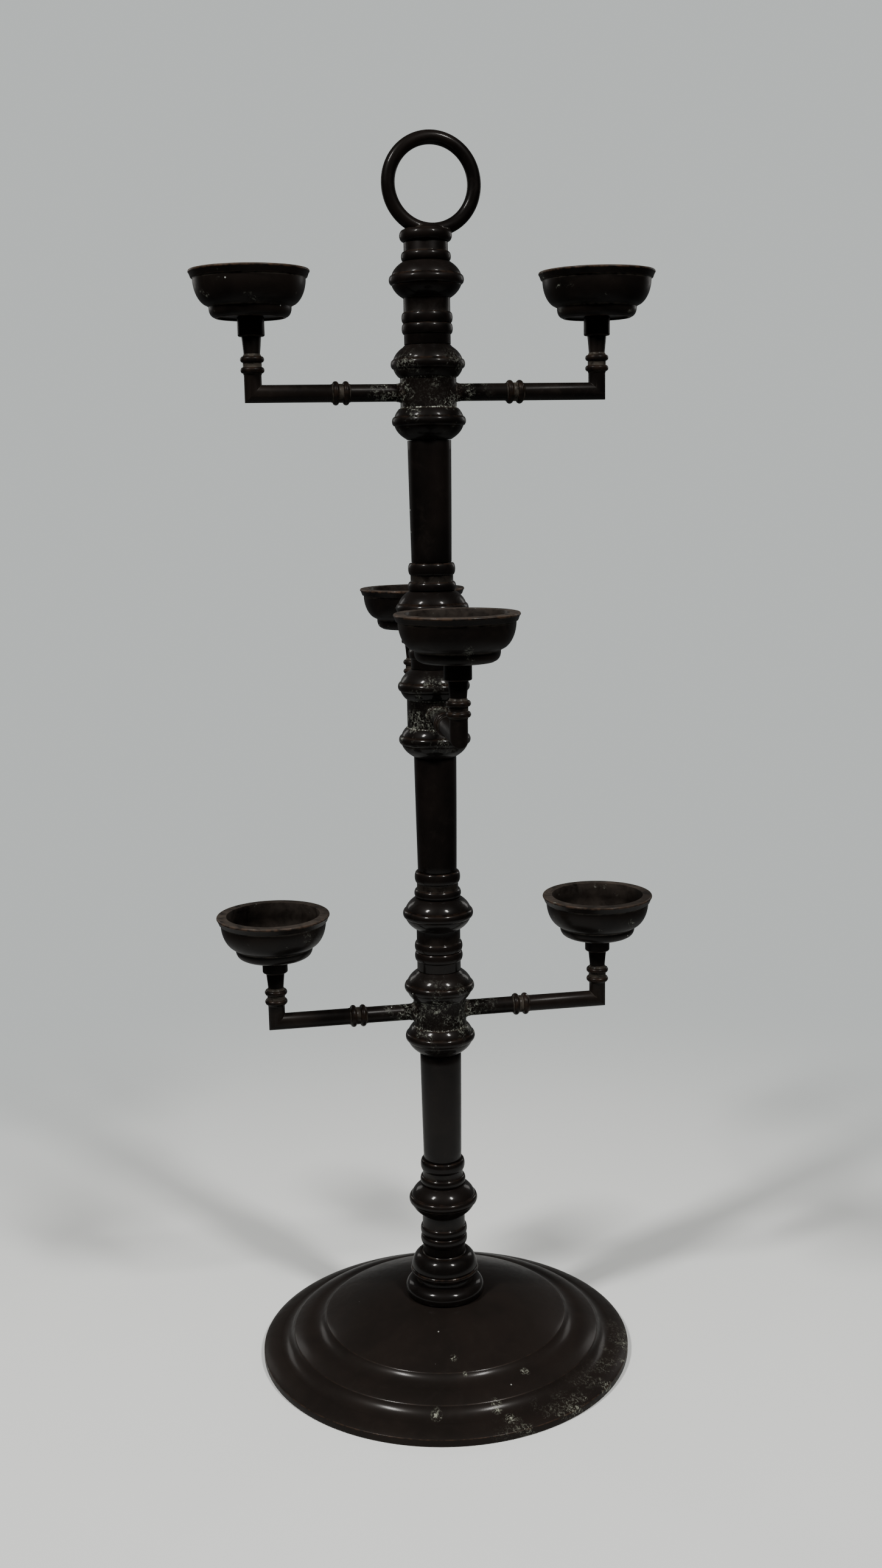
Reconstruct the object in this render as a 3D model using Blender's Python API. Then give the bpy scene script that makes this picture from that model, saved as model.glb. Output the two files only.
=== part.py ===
"""A standing candelabrum: one turned column on a round foot, three tiers of two arms, six cups.

The column is a stack of turned brass pieces on a tie rod. Each tier is a hub with two brazed arms,
and it turns about the column on the spigots of the pieces above and below it.
Units are metres, +Z is up, and the origin is the centre of the foot's underside.
"""

from math import acos, asin, atan2, cos, pi, radians, sin

import bmesh
import bpy
from mathutils import Matrix, Vector

# ---------------------------------------------------------------- fits and facets
GAP = 0.0003              # between pieces that touch
COLUMN_SIDES = 18         # facets round the column's turned pieces
FOOT_SIDES = 32
CUP_SIDES = 18
BAR_SIDES = 10            # arms, risers, rod and other slim round pieces
NUT_SIDES = 12            # two facets to each flat of the nut

# ---------------------------------------------------------------- column stack
TIERS = ("lower", "middle", "upper")
TIER_TURN = (0.0, 87.7, 0.7)   # degrees about the column, as the tiers stand
SPACER_L = 0.0642
SHAFT_L = 0.0726
HUB_L = 0.0549
BORE_R = 0.0108           # cored bore through every column piece; the walls below stand on it
SPIGOT_L = 0.0030         # how far a spigot enters the bore below or above it
SPIGOT_WALL = 0.0017
SPIGOT_R = BORE_R - GAP
SPIGOT_BORE_R = SPIGOT_R - SPIGOT_WALL

# ---------------------------------------------------------------- tie rod and its clamp
ROD_R = 0.0048
ROD_HOLE_R = ROD_R + GAP
ROD_END_L = 0.0050        # rod that shows below the nut
ROD_ROOF = 0.0015         # solid metal left above the finial's hole
ROD_THREAD_L = 0.0105     # rod screwed into the finial's long spigot
WASHER_R = ROD_R + 0.0102
WASHER_T = 0.0020
NUT_FLATS = 2 * ROD_R + 0.0074
NUT_H = 0.0080

# ---------------------------------------------------------------- column base
BASE_H = 0.0290
BASE_GROOVE_R = BORE_R + 0.0074
BASE_GROOVE_H = 0.0042
BASE_MOULD_R = BASE_GROOVE_R + 0.0075   # half-round moulding on the foot
BASE_MOULD_FLAT = 0.0034  # height of its widest line above the foot
BASE_MOULD_H = 0.0100
BASE_MOULD_TUCK = 0.0008  # it draws in again at the foot
BELL_R = BASE_GROOVE_R + 0.0032
BELL_LIP_OUT = 0.0004     # lip stands proud of the bell
BELL_LIP_H = 0.0034

# ---------------------------------------------------------------- foot
FOOT_R = 0.1200
FOOT_BAND_H = 0.0045      # upright band round the rim
FOOT_EDGE_Z = 0.0063      # fine edge above the band, and how far it stands in
FOOT_EDGE_IN = 0.0037
FOOT_REST_W = 0.0045      # flat ring that the foot stands on
FOOT_WALL = 0.0022
FOOT_SEAT_Z = 0.0375      # seat for the column base
BORDER_W = 0.0202         # rim to outer ridge
STEP_W = 0.0211           # outer ridge to inner ridge
OUTER_RIDGE_Z = 0.0146
INNER_RIDGE_Z = 0.0236
COVE_W = 0.0100           # hollow outside each ridge
OUTER_COVE_H = 0.0063
INNER_COVE_H = 0.0052
COVE_START = 25.0         # degrees of the cove's quarter that the ridge cuts off
CROWN_POWER = 1.6         # how late the crown rolls over

# ---------------------------------------------------------------- ringed knops, beads, shafts
NECK_R = BORE_R + 0.0030
KNOP_R = BORE_R + 0.0102  # oblate ball: equator radius and half height
KNOP_B = 0.0137
KNOP_RING_OUT = 0.00115   # ring stands proud of the ball
KNOP_RING_H = 0.0056
SPACER_FOOT_L = 0.0058    # plain neck at a spacer's lower end
TWIN_BEAD_R = NECK_R + 0.00135
TWIN_BEAD_H = 0.0063
TWIN_NECK_L = 0.0080      # neck from the twin bead to the knop
CAP_NECK_R = BORE_R + 0.0022
CAP_BEAD_R = CAP_NECK_R + 0.0017   # bead on the knop's shoulder
CAP_BEAD_IN = 0.0006      # shoulder stands in from that bead
CAP_BEAD_H = 0.0058
CAP_NECK_L = 0.0039
TOP_NECK_EXTRA = 0.0016   # longer neck under the finial
END_BEAD_R = CAP_NECK_R + 0.0013   # bead that the shaft stands on
SHAFT_LOW_R = BORE_R + 0.0014
SHAFT_TOP_R = BORE_R + 0.00235
BARREL_R = BORE_R + 0.00595        # hub's barrel, where the arms enter

# ---------------------------------------------------------------- ring finial
TOP_BEAD_R = CAP_NECK_R + 0.0025
TOP_BEAD_H = 0.0069
RING_R = 0.0257           # to the middle of the ring's bar
RING_BAR_R = 0.0041
RING_SINK = 0.0071        # ring's lowest bar centre above the bead's underside
RING_TURN = 3.0           # degrees about the column
RING_LEAN = 3.2           # degrees off upright, and how far its foot is off the bead's middle
RING_SHIFT = 0.0021
RING_SIDES = 28
RING_BAR_SIDES = 8

# ---------------------------------------------------------------- arms, risers, collars, cups
ARM_REACH = 0.1037        # column axis to cup axis
ARM_R = 0.00515
ARM_ROOT_IN = 0.0045      # how far an arm enters the barrel
BEAD_R = ARM_R + 0.00185  # beads on arms and risers
BEAD_OUT = 0.0015         # beads stand proud of the waist between them
BEAD_L = 0.0035
BEAD_PITCH = 0.0061
ARM_BEADS_AT = 0.0525     # column axis to the middle of the arm's two beads
RISER_BEADS_AT = 0.01645  # arm axis to the middle of the riser's two beads
RISER_R = ARM_R - 0.00005
RISER_WAIST_R = RISER_R - 0.0003
RISER_TOP_R = RISER_R + 0.0006
RISER_TOP = 0.0321        # arm axis to the collar
COLLAR_R = RISER_TOP_R + 0.00215
COLLAR_H = 0.0113
COLLAR_EDGE = 0.0009
CUP_R = 0.0350
CUP_H = 0.0270
CUP_LIP_W = 0.0061        # flat lip round the mouth
CUP_LIP_H = 0.0045
CUP_LIP_IN = 0.0015       # taper of the lip's outer band
CUP_LIP_STEP = 0.0009     # step from the lip's band to the bowl
BOWL_POINTS = (65, 38, 0) # degrees round the bowl's quarter ellipse, foot to lip
CUP_FOOT_H = 0.0065
CUP_FOOT_R = CUP_R - 0.0111
CUP_FOOT_LOW_R = CUP_FOOT_R - 0.0036
CUP_RECESS = 0.0014       # hollow inside the cup's foot ring
CUP_FOOT_BAND = 0.0012    # width of the ring that the recess leaves
CUP_FLOOR_Z = 0.0185      # lip to floor, inside
CUP_FLOOR_R = CUP_R - CUP_LIP_W - 0.0064
CUP_WALL_IN = 0.0006      # the mouth's wall leans in
CUP_COVE = 0.0030         # cove between the wall and the floor
SCREW_R = 0.0022
SCREW_HEAD_R = 0.0044
SCREW_HEAD_H = 0.0022
SCREW_EDGE = 0.0009       # the head draws in towards its top
SCREW_SINK = SCREW_HEAD_H + 2 * GAP    # depth of the head's recess in the floor
SCREW_SINK_GAP = 0.0006   # round the head
SCREW_GRIP = 0.0080       # screw in the riser
SCREW_HOLE_DEEP = 0.0020  # hole left below the screw's end

# ---------------------------------------------------------------- heights that follow
BASE_Z = FOOT_SEAT_Z + GAP              # underside of the column base
STACK_Z = FOOT_SEAT_Z + BASE_H           # underside of the first spacer
STAGE_L = SPACER_L + SHAFT_L + HUB_L     # one tier's share of the column
KNOP_Z = SPACER_FOOT_L + 2 * TWIN_BEAD_H + TWIN_NECK_L + KNOP_B * sin(acos(NECK_R / KNOP_R))
HUB_KNOP_Z = 0.0108                      # hub's end to the middle of its ring
ARM_AXIS_Z = HUB_L / 2                   # above the hub's underside

# ---------------------------------------------------------------- colours (linear red, green, blue)
BRONZE = (0.055, 0.043, 0.036)
FOOT_BRONZE = (0.105, 0.080, 0.068)
CUP_BRONZE = (0.080, 0.062, 0.048)
STEEL = (0.42, 0.41, 0.39)


def clear_scene():
    for obj in list(bpy.data.objects):
        bpy.data.objects.remove(obj, do_unlink=True)


def finish(name, colour, roughness, metallic):
    """One Principled material for one piece."""
    material = bpy.data.materials.new(name + "_finish")
    material.use_nodes = True
    shader = material.node_tree.nodes["Principled BSDF"]
    shader.inputs["Base Color"].default_value = (*colour, 1.0)
    shader.inputs["Roughness"].default_value = roughness
    shader.inputs["Metallic"].default_value = metallic
    return material


def add_object(name, mesh, colour, roughness=0.38, metallic=0.9):
    obj = bpy.data.objects.new(name, mesh)
    bpy.context.scene.collection.objects.link(obj)
    mesh.materials.append(finish(name, colour, roughness, metallic))
    return obj


def add_axis(name, z, turn=0.0):
    """An empty on the column's axis, which a tier turns about."""
    empty = bpy.data.objects.new(name, None)
    bpy.context.scene.collection.objects.link(empty)
    empty.location = (0.0, 0.0, z)
    empty.rotation_euler = (0.0, 0.0, radians(turn))
    return empty


def close_mesh(bm, name, smooth_angle=35.0):
    """Weld, face outwards and turn the bmesh into a smooth-shaded mesh."""
    bmesh.ops.remove_doubles(bm, verts=bm.verts, dist=1e-6)
    bmesh.ops.dissolve_degenerate(bm, edges=bm.edges, dist=1e-6)
    on_axis = [edge for edge in bm.edges if not edge.link_faces]
    bmesh.ops.delete(bm, geom=on_axis, context="EDGES")
    bmesh.ops.recalc_face_normals(bm, faces=bm.faces)
    mesh = bpy.data.meshes.new(name)
    bm.to_mesh(mesh)
    bm.free()
    mesh.shade_smooth()
    mesh.set_sharp_from_angle(angle=radians(smooth_angle))
    return mesh


def turned_bmesh(profile, sides):
    """Spin a closed outline of (radius, height) points about the Z axis."""
    bm = bmesh.new()
    ring = [bm.verts.new((r, 0.0, z)) for r, z in profile]
    edges = [bm.edges.new((ring[i - 1], ring[i])) for i in range(len(ring))]
    bmesh.ops.spin(bm, geom=ring + edges, cent=(0, 0, 0), axis=(0, 0, 1),
                   angle=2 * pi, steps=sides, use_merge=True)
    return bm


def turned(name, profile, sides):
    return close_mesh(turned_bmesh(profile, sides), name)


# ---------------------------------------------------------------- outlines, bottom to top
def bead(z_low, z_high, r_in, r_out, steps=3):
    """A half-round bulge from r_in to r_out between two heights."""
    angles = [pi * i / steps for i in range(steps + 1)]
    peak = max(sin(a) for a in angles)
    middle, half = (z_low + z_high) / 2, (z_high - z_low) / 2
    return [(r_in + (r_out - r_in) * sin(a) / peak, middle - half * cos(a)) for a in angles]


def knop(z, r_below, r_above, steps=2):
    """An oblate ball round height z with a raised ring on its equator, cut off at two radii."""
    low, high = acos(r_below / KNOP_R), acos(r_above / KNOP_R)
    edge = asin(KNOP_RING_H / 2 / KNOP_B)
    below = [-low + (low - edge) * i / steps for i in range(steps + 1)]
    above = [edge + (high - edge) * i / steps for i in range(steps + 1)]
    arc_below = [(KNOP_R * cos(a), z + KNOP_B * sin(a)) for a in below]
    arc_above = [(KNOP_R * cos(a), z + KNOP_B * sin(a)) for a in above]
    ring = bead(z - KNOP_RING_H / 2, z + KNOP_RING_H / 2, KNOP_R * cos(edge),
                KNOP_R + KNOP_RING_OUT)
    return arc_below + ring[1:-1] + arc_above


def cove(r, z, width, drop, steps=2):
    """A hollow outside a ridge at (r, z): steep at the ridge, level at its outer end."""
    start = radians(COVE_START)
    points = []
    for i in range(steps + 1):
        a = start + (pi / 2 - start) * i / steps
        across = (cos(start) - cos(a)) / cos(start)
        down = (sin(a) - sin(start)) / (1 - sin(start))
        points.append((r + width * across, z - drop * down))
    return points


def crown(r_in, z_in, r_out, z_out, steps=4):
    """A slope that leaves r_in level and rolls over towards r_out."""
    points = []
    for i in range(1, steps):
        t = i / steps
        points.append((r_in + (r_out - r_in) * t, z_in + (z_out - z_in) * t ** CROWN_POWER))
    return points


def quarter(r_from, z_from, r_to, z_to, steps=3):
    """A quarter ellipse that leaves r_to upright and arrives at z_to level, bottom to top."""
    points = []
    for i in range(steps + 1):
        a = pi / 2 * i / steps
        points.append((r_to + (r_from - r_to) * cos(a), z_from + (z_to - z_from) * sin(a)))
    return points


# ---------------------------------------------------------------- foot and column pieces
def make_foot():
    """Spun foot: seat, crown, inner ridge and cove, outer ridge and cove, rim; hollow beneath."""
    outer_r = FOOT_R - BORDER_W
    inner_r = outer_r - STEP_W
    inner_cove = cove(inner_r, INNER_RIDGE_Z, COVE_W, INNER_COVE_H)
    top = [(ROD_HOLE_R, FOOT_SEAT_Z), (BASE_MOULD_R, FOOT_SEAT_Z)]
    top += crown(BASE_MOULD_R, FOOT_SEAT_Z, inner_r, INNER_RIDGE_Z)
    top += inner_cove
    top += crown(*inner_cove[-1], outer_r, OUTER_RIDGE_Z, steps=2)
    top += cove(outer_r, OUTER_RIDGE_Z, COVE_W, OUTER_COVE_H)
    edge = [(FOOT_R - FOOT_EDGE_IN, FOOT_EDGE_Z), (FOOT_R, FOOT_BAND_H), (FOOT_R, 0.0)]
    inside_r = FOOT_R - FOOT_REST_W
    under = [(inside_r, 0.0), (inside_r, FOOT_EDGE_Z - FOOT_WALL)]
    under += [(r, z - FOOT_WALL) for r, z in reversed(top)]
    return add_object("foot_dome", turned("foot_dome", top + edge + under, FOOT_SIDES),
                      FOOT_BRONZE, roughness=0.45)


def make_column_base():
    mould_z = BASE_MOULD_FLAT
    outline = [(BASE_MOULD_R - BASE_MOULD_TUCK, 0.0)]
    outline += quarter(BASE_MOULD_R, mould_z, BASE_GROOVE_R, BASE_MOULD_H)
    lip_z = BASE_MOULD_H + BASE_GROOVE_H
    outline += [(BASE_GROOVE_R, lip_z)]
    outline += bead(lip_z, lip_z + BELL_LIP_H, BELL_R - BELL_LIP_OUT, BELL_R + BELL_LIP_OUT)
    outline += quarter(BELL_R, lip_z + BELL_LIP_H, NECK_R, BASE_H - 2 * GAP)[1:]
    outline += [(BORE_R, BASE_H - 2 * GAP), (BORE_R, 0.0)]
    base = add_object("column_base", turned("column_base", outline, COLUMN_SIDES), BRONZE)
    base.location.z = BASE_Z
    return base


def make_spacer(name, z, with_end_bead=True):
    """Spigot, neck, twin bead, ringed knop, cap bead and, below a shaft, an end bead."""
    twin = SPACER_FOOT_L
    outline = [(SPIGOT_BORE_R, -SPIGOT_L), (SPIGOT_R, -SPIGOT_L), (SPIGOT_R, 0.0), (NECK_R, 0.0)]
    outline += bead(twin, twin + TWIN_BEAD_H, NECK_R, TWIN_BEAD_R)
    upper = bead(twin + TWIN_BEAD_H, twin + 2 * TWIN_BEAD_H, NECK_R, TWIN_BEAD_R)
    outline += upper[1:]
    outline += knop(KNOP_Z, NECK_R, CAP_BEAD_R - CAP_BEAD_IN)
    cap = outline[-1][1]
    outline += bead(cap, cap + CAP_BEAD_H, CAP_NECK_R, CAP_BEAD_R)[1:]
    end = cap + CAP_BEAD_H + CAP_NECK_L
    top = SPACER_L - GAP
    if with_end_bead:
        outline += bead(end, top, CAP_NECK_R, END_BEAD_R)
    else:
        end += TOP_NECK_EXTRA
        top = end - GAP
        outline += [(CAP_NECK_R, top)]
    outline += [(BORE_R, top), (BORE_R, SPIGOT_L), (SPIGOT_BORE_R, SPIGOT_L)]
    spacer = add_object(name, turned(name, outline, COLUMN_SIDES), BRONZE)
    spacer.location.z = z
    return z + end


def make_shaft(name, z):
    """A tapered tube with a spigot at each end."""
    top = SHAFT_L - GAP
    outline = [(SPIGOT_BORE_R, -SPIGOT_L), (SPIGOT_R, -SPIGOT_L), (SPIGOT_R, 0.0),
               (SHAFT_LOW_R, 0.0), (SHAFT_TOP_R, top), (SPIGOT_R, top),
               (SPIGOT_R, top + SPIGOT_L), (SPIGOT_BORE_R, top + SPIGOT_L)]
    shaft = add_object(name, turned(name, outline, COLUMN_SIDES), BRONZE)
    shaft.location.z = z


def make_finial(z):
    """Carrying ring on a bead, bored from below for the end of the tie rod."""
    low = -ROD_THREAD_L - ROD_ROOF
    outline = [(ROD_HOLE_R, low), (SPIGOT_R, low), (SPIGOT_R, 0.0)]
    outline += bead(0.0, TOP_BEAD_H, CAP_NECK_R, TOP_BEAD_R)
    outline += [(0.0, TOP_BEAD_H), (0.0, -ROD_ROOF), (ROD_HOLE_R, -ROD_ROOF)]
    boss = add_object("ring_finial", turned("ring_finial", outline, COLUMN_SIDES), BRONZE)
    bm = bmesh.new()
    circle = [bm.verts.new((RING_R + RING_BAR_R * cos(a), 0.0, RING_BAR_R * sin(a)))
              for a in (2 * pi * i / RING_BAR_SIDES for i in range(RING_BAR_SIDES))]
    loop = [bm.edges.new((circle[i - 1], circle[i])) for i in range(RING_BAR_SIDES)]
    bmesh.ops.spin(bm, geom=circle + loop, cent=(0, 0, 0), axis=(0, 0, 1),
                   angle=2 * pi, steps=RING_SIDES, use_merge=True)
    bmesh.ops.rotate(bm, verts=bm.verts, matrix=Matrix.Rotation(pi / 2, 3, "X"))
    bmesh.ops.translate(bm, verts=bm.verts, vec=Vector((RING_SHIFT, 0, RING_SINK + RING_R)))
    bmesh.ops.rotate(bm, verts=bm.verts, matrix=Matrix.Rotation(radians(RING_LEAN), 3, "Y"))
    ring = bpy.data.objects.new("ring_shape", close_mesh(bm, "ring_shape"))
    bpy.context.scene.collection.objects.link(ring)
    ring.hide_render = True
    ring.display_type = "WIRE"
    ring.parent = boss
    join = boss.modifiers.new("ring", "BOOLEAN")
    join.operation = "UNION"
    join.object = ring
    boss.location.z = z
    boss.rotation_euler.z = radians(RING_TURN)
    return boss


def make_clamp(finial_z):
    """Tie rod from the foot's hollow to the finial, with its washer and nut."""
    washer_top = FOOT_SEAT_Z - FOOT_WALL - GAP
    nut_top = washer_top - WASHER_T - GAP
    rod_low = nut_top - NUT_H - ROD_END_L
    rod_high = finial_z - ROD_ROOF - GAP
    bm = bmesh.new()
    bmesh.ops.create_cone(bm, cap_ends=True, segments=BAR_SIDES, radius1=ROD_R, radius2=ROD_R,
                          depth=rod_high - rod_low)
    rod = add_object("tie_rod", close_mesh(bm, "tie_rod"), STEEL, 0.4, 1.0)
    rod.location.z = (rod_low + rod_high) / 2
    washer_outline = [(ROD_HOLE_R, -WASHER_T), (WASHER_R, -WASHER_T), (WASHER_R, 0.0),
                      (ROD_HOLE_R, 0.0)]
    washer = add_object("clamp_washer", turned("clamp_washer", washer_outline, COLUMN_SIDES),
                        STEEL, 0.45, 1.0)
    washer.location.z = washer_top
    half = NUT_FLATS / 2
    nut_outline = [(ROD_HOLE_R, -NUT_H), (half, -NUT_H), (half, 0.0), (ROD_HOLE_R, 0.0)]
    bm = turned_bmesh(nut_outline, NUT_SIDES)
    for vert in bm.verts:
        if vert.co.xy.length > (half + ROD_HOLE_R) / 2:
            from_flat = atan2(vert.co.y, vert.co.x) % (pi / 3) - pi / 6
            vert.co.xy = vert.co.xy.normalized() * half / cos(from_flat)
    nut = add_object("clamp_nut", close_mesh(bm, "clamp_nut"), STEEL, 0.45, 1.0)
    nut.location.z = nut_top


# ---------------------------------------------------------------- one tier
def make_hub(name, axis):
    """Knop, barrel and knop in one turning, with a round socket through the barrel for the arms."""
    top = HUB_L - GAP
    outline = knop(HUB_KNOP_Z, SHAFT_TOP_R, BARREL_R)
    outline += knop(HUB_L - HUB_KNOP_Z, BARREL_R, NECK_R)
    outline[0] = (SHAFT_TOP_R, 0.0)
    outline[-1] = (NECK_R, top)
    outline += [(BORE_R, top), (BORE_R, 0.0)]
    outline = [(r, z - ARM_AXIS_Z) for r, z in outline]
    hub = add_object(name, turned(name, outline, COLUMN_SIDES), BRONZE)
    hub.parent = axis
    socket_r, past = ARM_R + GAP, 2 * BARREL_R
    rod = turned(name + "_socket", [(0.0, -past), (socket_r, -past), (socket_r, past), (0.0, past)],
                 BAR_SIDES)
    socket = bpy.data.objects.new(name + "_socket", rod)
    bpy.context.scene.collection.objects.link(socket)
    socket.rotation_euler.y = pi / 2
    socket.parent = axis
    socket.hide_render = True
    socket.display_type = "WIRE"
    cut = hub.modifiers.new("socket", "BOOLEAN")
    cut.operation = "DIFFERENCE"
    cut.object = socket


def bar_beads(at):
    """The two beads on an arm or a riser, round a middle point, with the waist between them."""
    waist = BEAD_R - BEAD_OUT
    low = bead(at - BEAD_PITCH / 2 - BEAD_L / 2, at - BEAD_PITCH / 2 + BEAD_L / 2, waist, BEAD_R)
    high = bead(at + BEAD_PITCH / 2 - BEAD_L / 2, at + BEAD_PITCH / 2 + BEAD_L / 2, waist, BEAD_R)
    return low + high


def mitred(name, outline, plane_point, plane_normal):
    """A turned bar along Z, cut off square to plane_normal and capped."""
    bm = turned_bmesh(outline, BAR_SIDES)
    bmesh.ops.remove_doubles(bm, verts=bm.verts, dist=1e-6)
    cut = bmesh.ops.bisect_plane(bm, geom=bm.verts[:] + bm.edges[:] + bm.faces[:],
                                 plane_co=plane_point, plane_no=plane_normal, clear_outer=True)
    rim = [e for e in cut["geom_cut"] if isinstance(e, bmesh.types.BMEdge)]
    bmesh.ops.contextual_create(bm, geom=rim)
    return close_mesh(bm, name)


def arm_mesh():
    """Arm along +Z from its root in the barrel to the mitre; the riser stands towards -X."""
    root = BARREL_R - ARM_ROOT_IN
    past = ARM_REACH + 2 * ARM_R
    outline = [(0.0, root), (ARM_R, root), (ARM_R, ARM_BEADS_AT - BEAD_PITCH)]
    outline += bar_beads(ARM_BEADS_AT)
    outline += [(ARM_R, ARM_BEADS_AT + BEAD_PITCH), (ARM_R, past), (0.0, past)]
    return mitred("arm", outline, (0.0, 0.0, ARM_REACH - GAP), (-1.0, 0.0, 1.0))


def riser_mesh():
    """Riser along +Z from the mitre to the collar, with the screw's hole; the arm is at -X."""
    past = -2 * RISER_R
    hole = SCREW_R + GAP
    hole_z = RISER_TOP - SCREW_GRIP - SCREW_HOLE_DEEP
    outline = [(0.0, past), (RISER_R, past), (RISER_R, RISER_BEADS_AT - BEAD_PITCH)]
    outline += bar_beads(RISER_BEADS_AT)
    outline += [(RISER_WAIST_R, RISER_BEADS_AT + BEAD_PITCH), (RISER_TOP_R, RISER_TOP),
                (hole, RISER_TOP), (hole, hole_z), (0.0, hole_z)]
    return mitred("riser", outline, (0.0, 0.0, GAP), (-1.0, 0.0, -1.0))


def collar_mesh():
    hole = SCREW_R + GAP
    inner_r = COLLAR_R - COLLAR_EDGE
    outline = [(hole, 0.0), (inner_r, 0.0), (COLLAR_R, COLLAR_EDGE),
               (COLLAR_R, COLLAR_H - COLLAR_EDGE), (inner_r, COLLAR_H), (hole, COLLAR_H)]
    return turned("collar", outline, BAR_SIDES)


def cup_mesh():
    """Cup with its lip at z = 0: foot ring, bowl, tapered lip band, flat lip and inside."""
    hole = SCREW_R + GAP
    sink_r = SCREW_HEAD_R + SCREW_SINK_GAP
    mouth_r = CUP_R - CUP_LIP_W
    bowl_r = CUP_R - CUP_LIP_IN - CUP_LIP_STEP
    foot_top = -CUP_H + CUP_FOOT_H
    recess_r = CUP_FOOT_LOW_R - CUP_FOOT_BAND
    outline = [(hole, -CUP_H + CUP_RECESS), (recess_r, -CUP_H + CUP_RECESS), (recess_r, -CUP_H),
               (CUP_FOOT_LOW_R, -CUP_H), (CUP_FOOT_R, foot_top)]
    for degrees in BOWL_POINTS:
        a = radians(degrees)
        outline.append((CUP_FLOOR_R + (bowl_r - CUP_FLOOR_R) * cos(a),
                        -CUP_LIP_H + (foot_top + CUP_LIP_H) * sin(a)))
    outline += [(CUP_R - CUP_LIP_IN, -CUP_LIP_H), (CUP_R, -CUP_LIP_IN / 2),
                (CUP_R - CUP_LIP_IN / 2, 0.0), (mouth_r, 0.0)]
    outline += [(mouth_r - CUP_WALL_IN, -CUP_FLOOR_Z / 2),
                (CUP_FLOOR_R + CUP_COVE, -CUP_FLOOR_Z + CUP_COVE),
                (CUP_FLOOR_R, -CUP_FLOOR_Z), (sink_r, -CUP_FLOOR_Z),
                (sink_r, -CUP_FLOOR_Z - SCREW_SINK), (hole, -CUP_FLOOR_Z - SCREW_SINK)]
    return turned("cup", outline, CUP_SIDES)


def screw_mesh(length):
    """Pan-head screw: underside of the head at z = 0, shank downwards."""
    outline = [(0.0, -length), (SCREW_R, -length), (SCREW_R, 0.0), (SCREW_HEAD_R, 0.0),
               (SCREW_HEAD_R - SCREW_EDGE, SCREW_HEAD_H), (0.0, SCREW_HEAD_H)]
    return turned("cup_screw", outline, BAR_SIDES)


def make_tier(tier, z, turn, sides):
    """Hub, and on each side an arm, a riser, a collar, a cup and its screw."""
    axis = add_axis(tier + "_tier_axis", z, turn)
    make_hub(tier + "_hub", axis)
    collar_z = RISER_TOP + GAP
    cup_base = collar_z + COLLAR_H + GAP - CUP_RECESS
    lip_z = cup_base + CUP_H
    head_z = lip_z - CUP_FLOOR_Z - SCREW_SINK + GAP
    screw_length = head_z - RISER_TOP + SCREW_GRIP
    for side, angle in zip(sides, (pi, 0.0)):
        pieces = (
            ("arm", arm_mesh(), 0.0, 0.0, BRONZE),
            ("riser", riser_mesh(), ARM_REACH, 0.0, BRONZE),
            ("collar", collar_mesh(), ARM_REACH, collar_z, BRONZE),
            ("cup", cup_mesh(), ARM_REACH, lip_z, CUP_BRONZE),
            ("cup_screw", screw_mesh(screw_length), ARM_REACH, head_z, STEEL),
        )
        for kind, mesh, reach, height, colour in pieces:
            piece = add_object(f"{tier}_{kind}_{side}", mesh, colour)
            piece.parent = axis
            piece.location = (reach * cos(angle), reach * sin(angle), height)
            piece.rotation_euler = (0.0, pi / 2 if kind == "arm" else 0.0, angle)


def build():
    clear_scene()
    make_foot()
    make_column_base()
    z = STACK_Z
    make_spacer("base_spacer", z)
    for tier, turn in zip(TIERS, TIER_TURN):
        make_shaft(tier + "_shaft", z + SPACER_L)
        hub_z = z + SPACER_L + SHAFT_L
        sides = ("back", "front") if tier == "middle" else ("left", "right")
        make_tier(tier, hub_z + ARM_AXIS_Z, turn, sides)
        z += STAGE_L
        if tier == TIERS[-1]:
            finial_z = make_spacer("top_spacer", z, with_end_bead=False)
        else:
            make_spacer(tier + "_spacer", z)
    make_finial(finial_z)
    make_clamp(finial_z)


build()
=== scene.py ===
# %% [markdown]
# # A standing candelabrum in dark bronze
#
# The real object is turned, not built from bars: a broad spun foot, a column of knops, beads and
# plain shafts threaded on one long rod, and three pairs of arms that each carry a shallow cup.
# The measured model is loaded first and never changed. It says where every part sits and how wide
# it is. This lesson makes a fine, softly edged piece in place of each part, gives each its metal, and
# ends with a floor, a camera and lights.

# %% Load the measured frame
from math import acos, asin, atan2, cos, pi, radians, sin, sqrt

import bmesh
import bpy
from mathutils import Matrix, Vector


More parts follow.
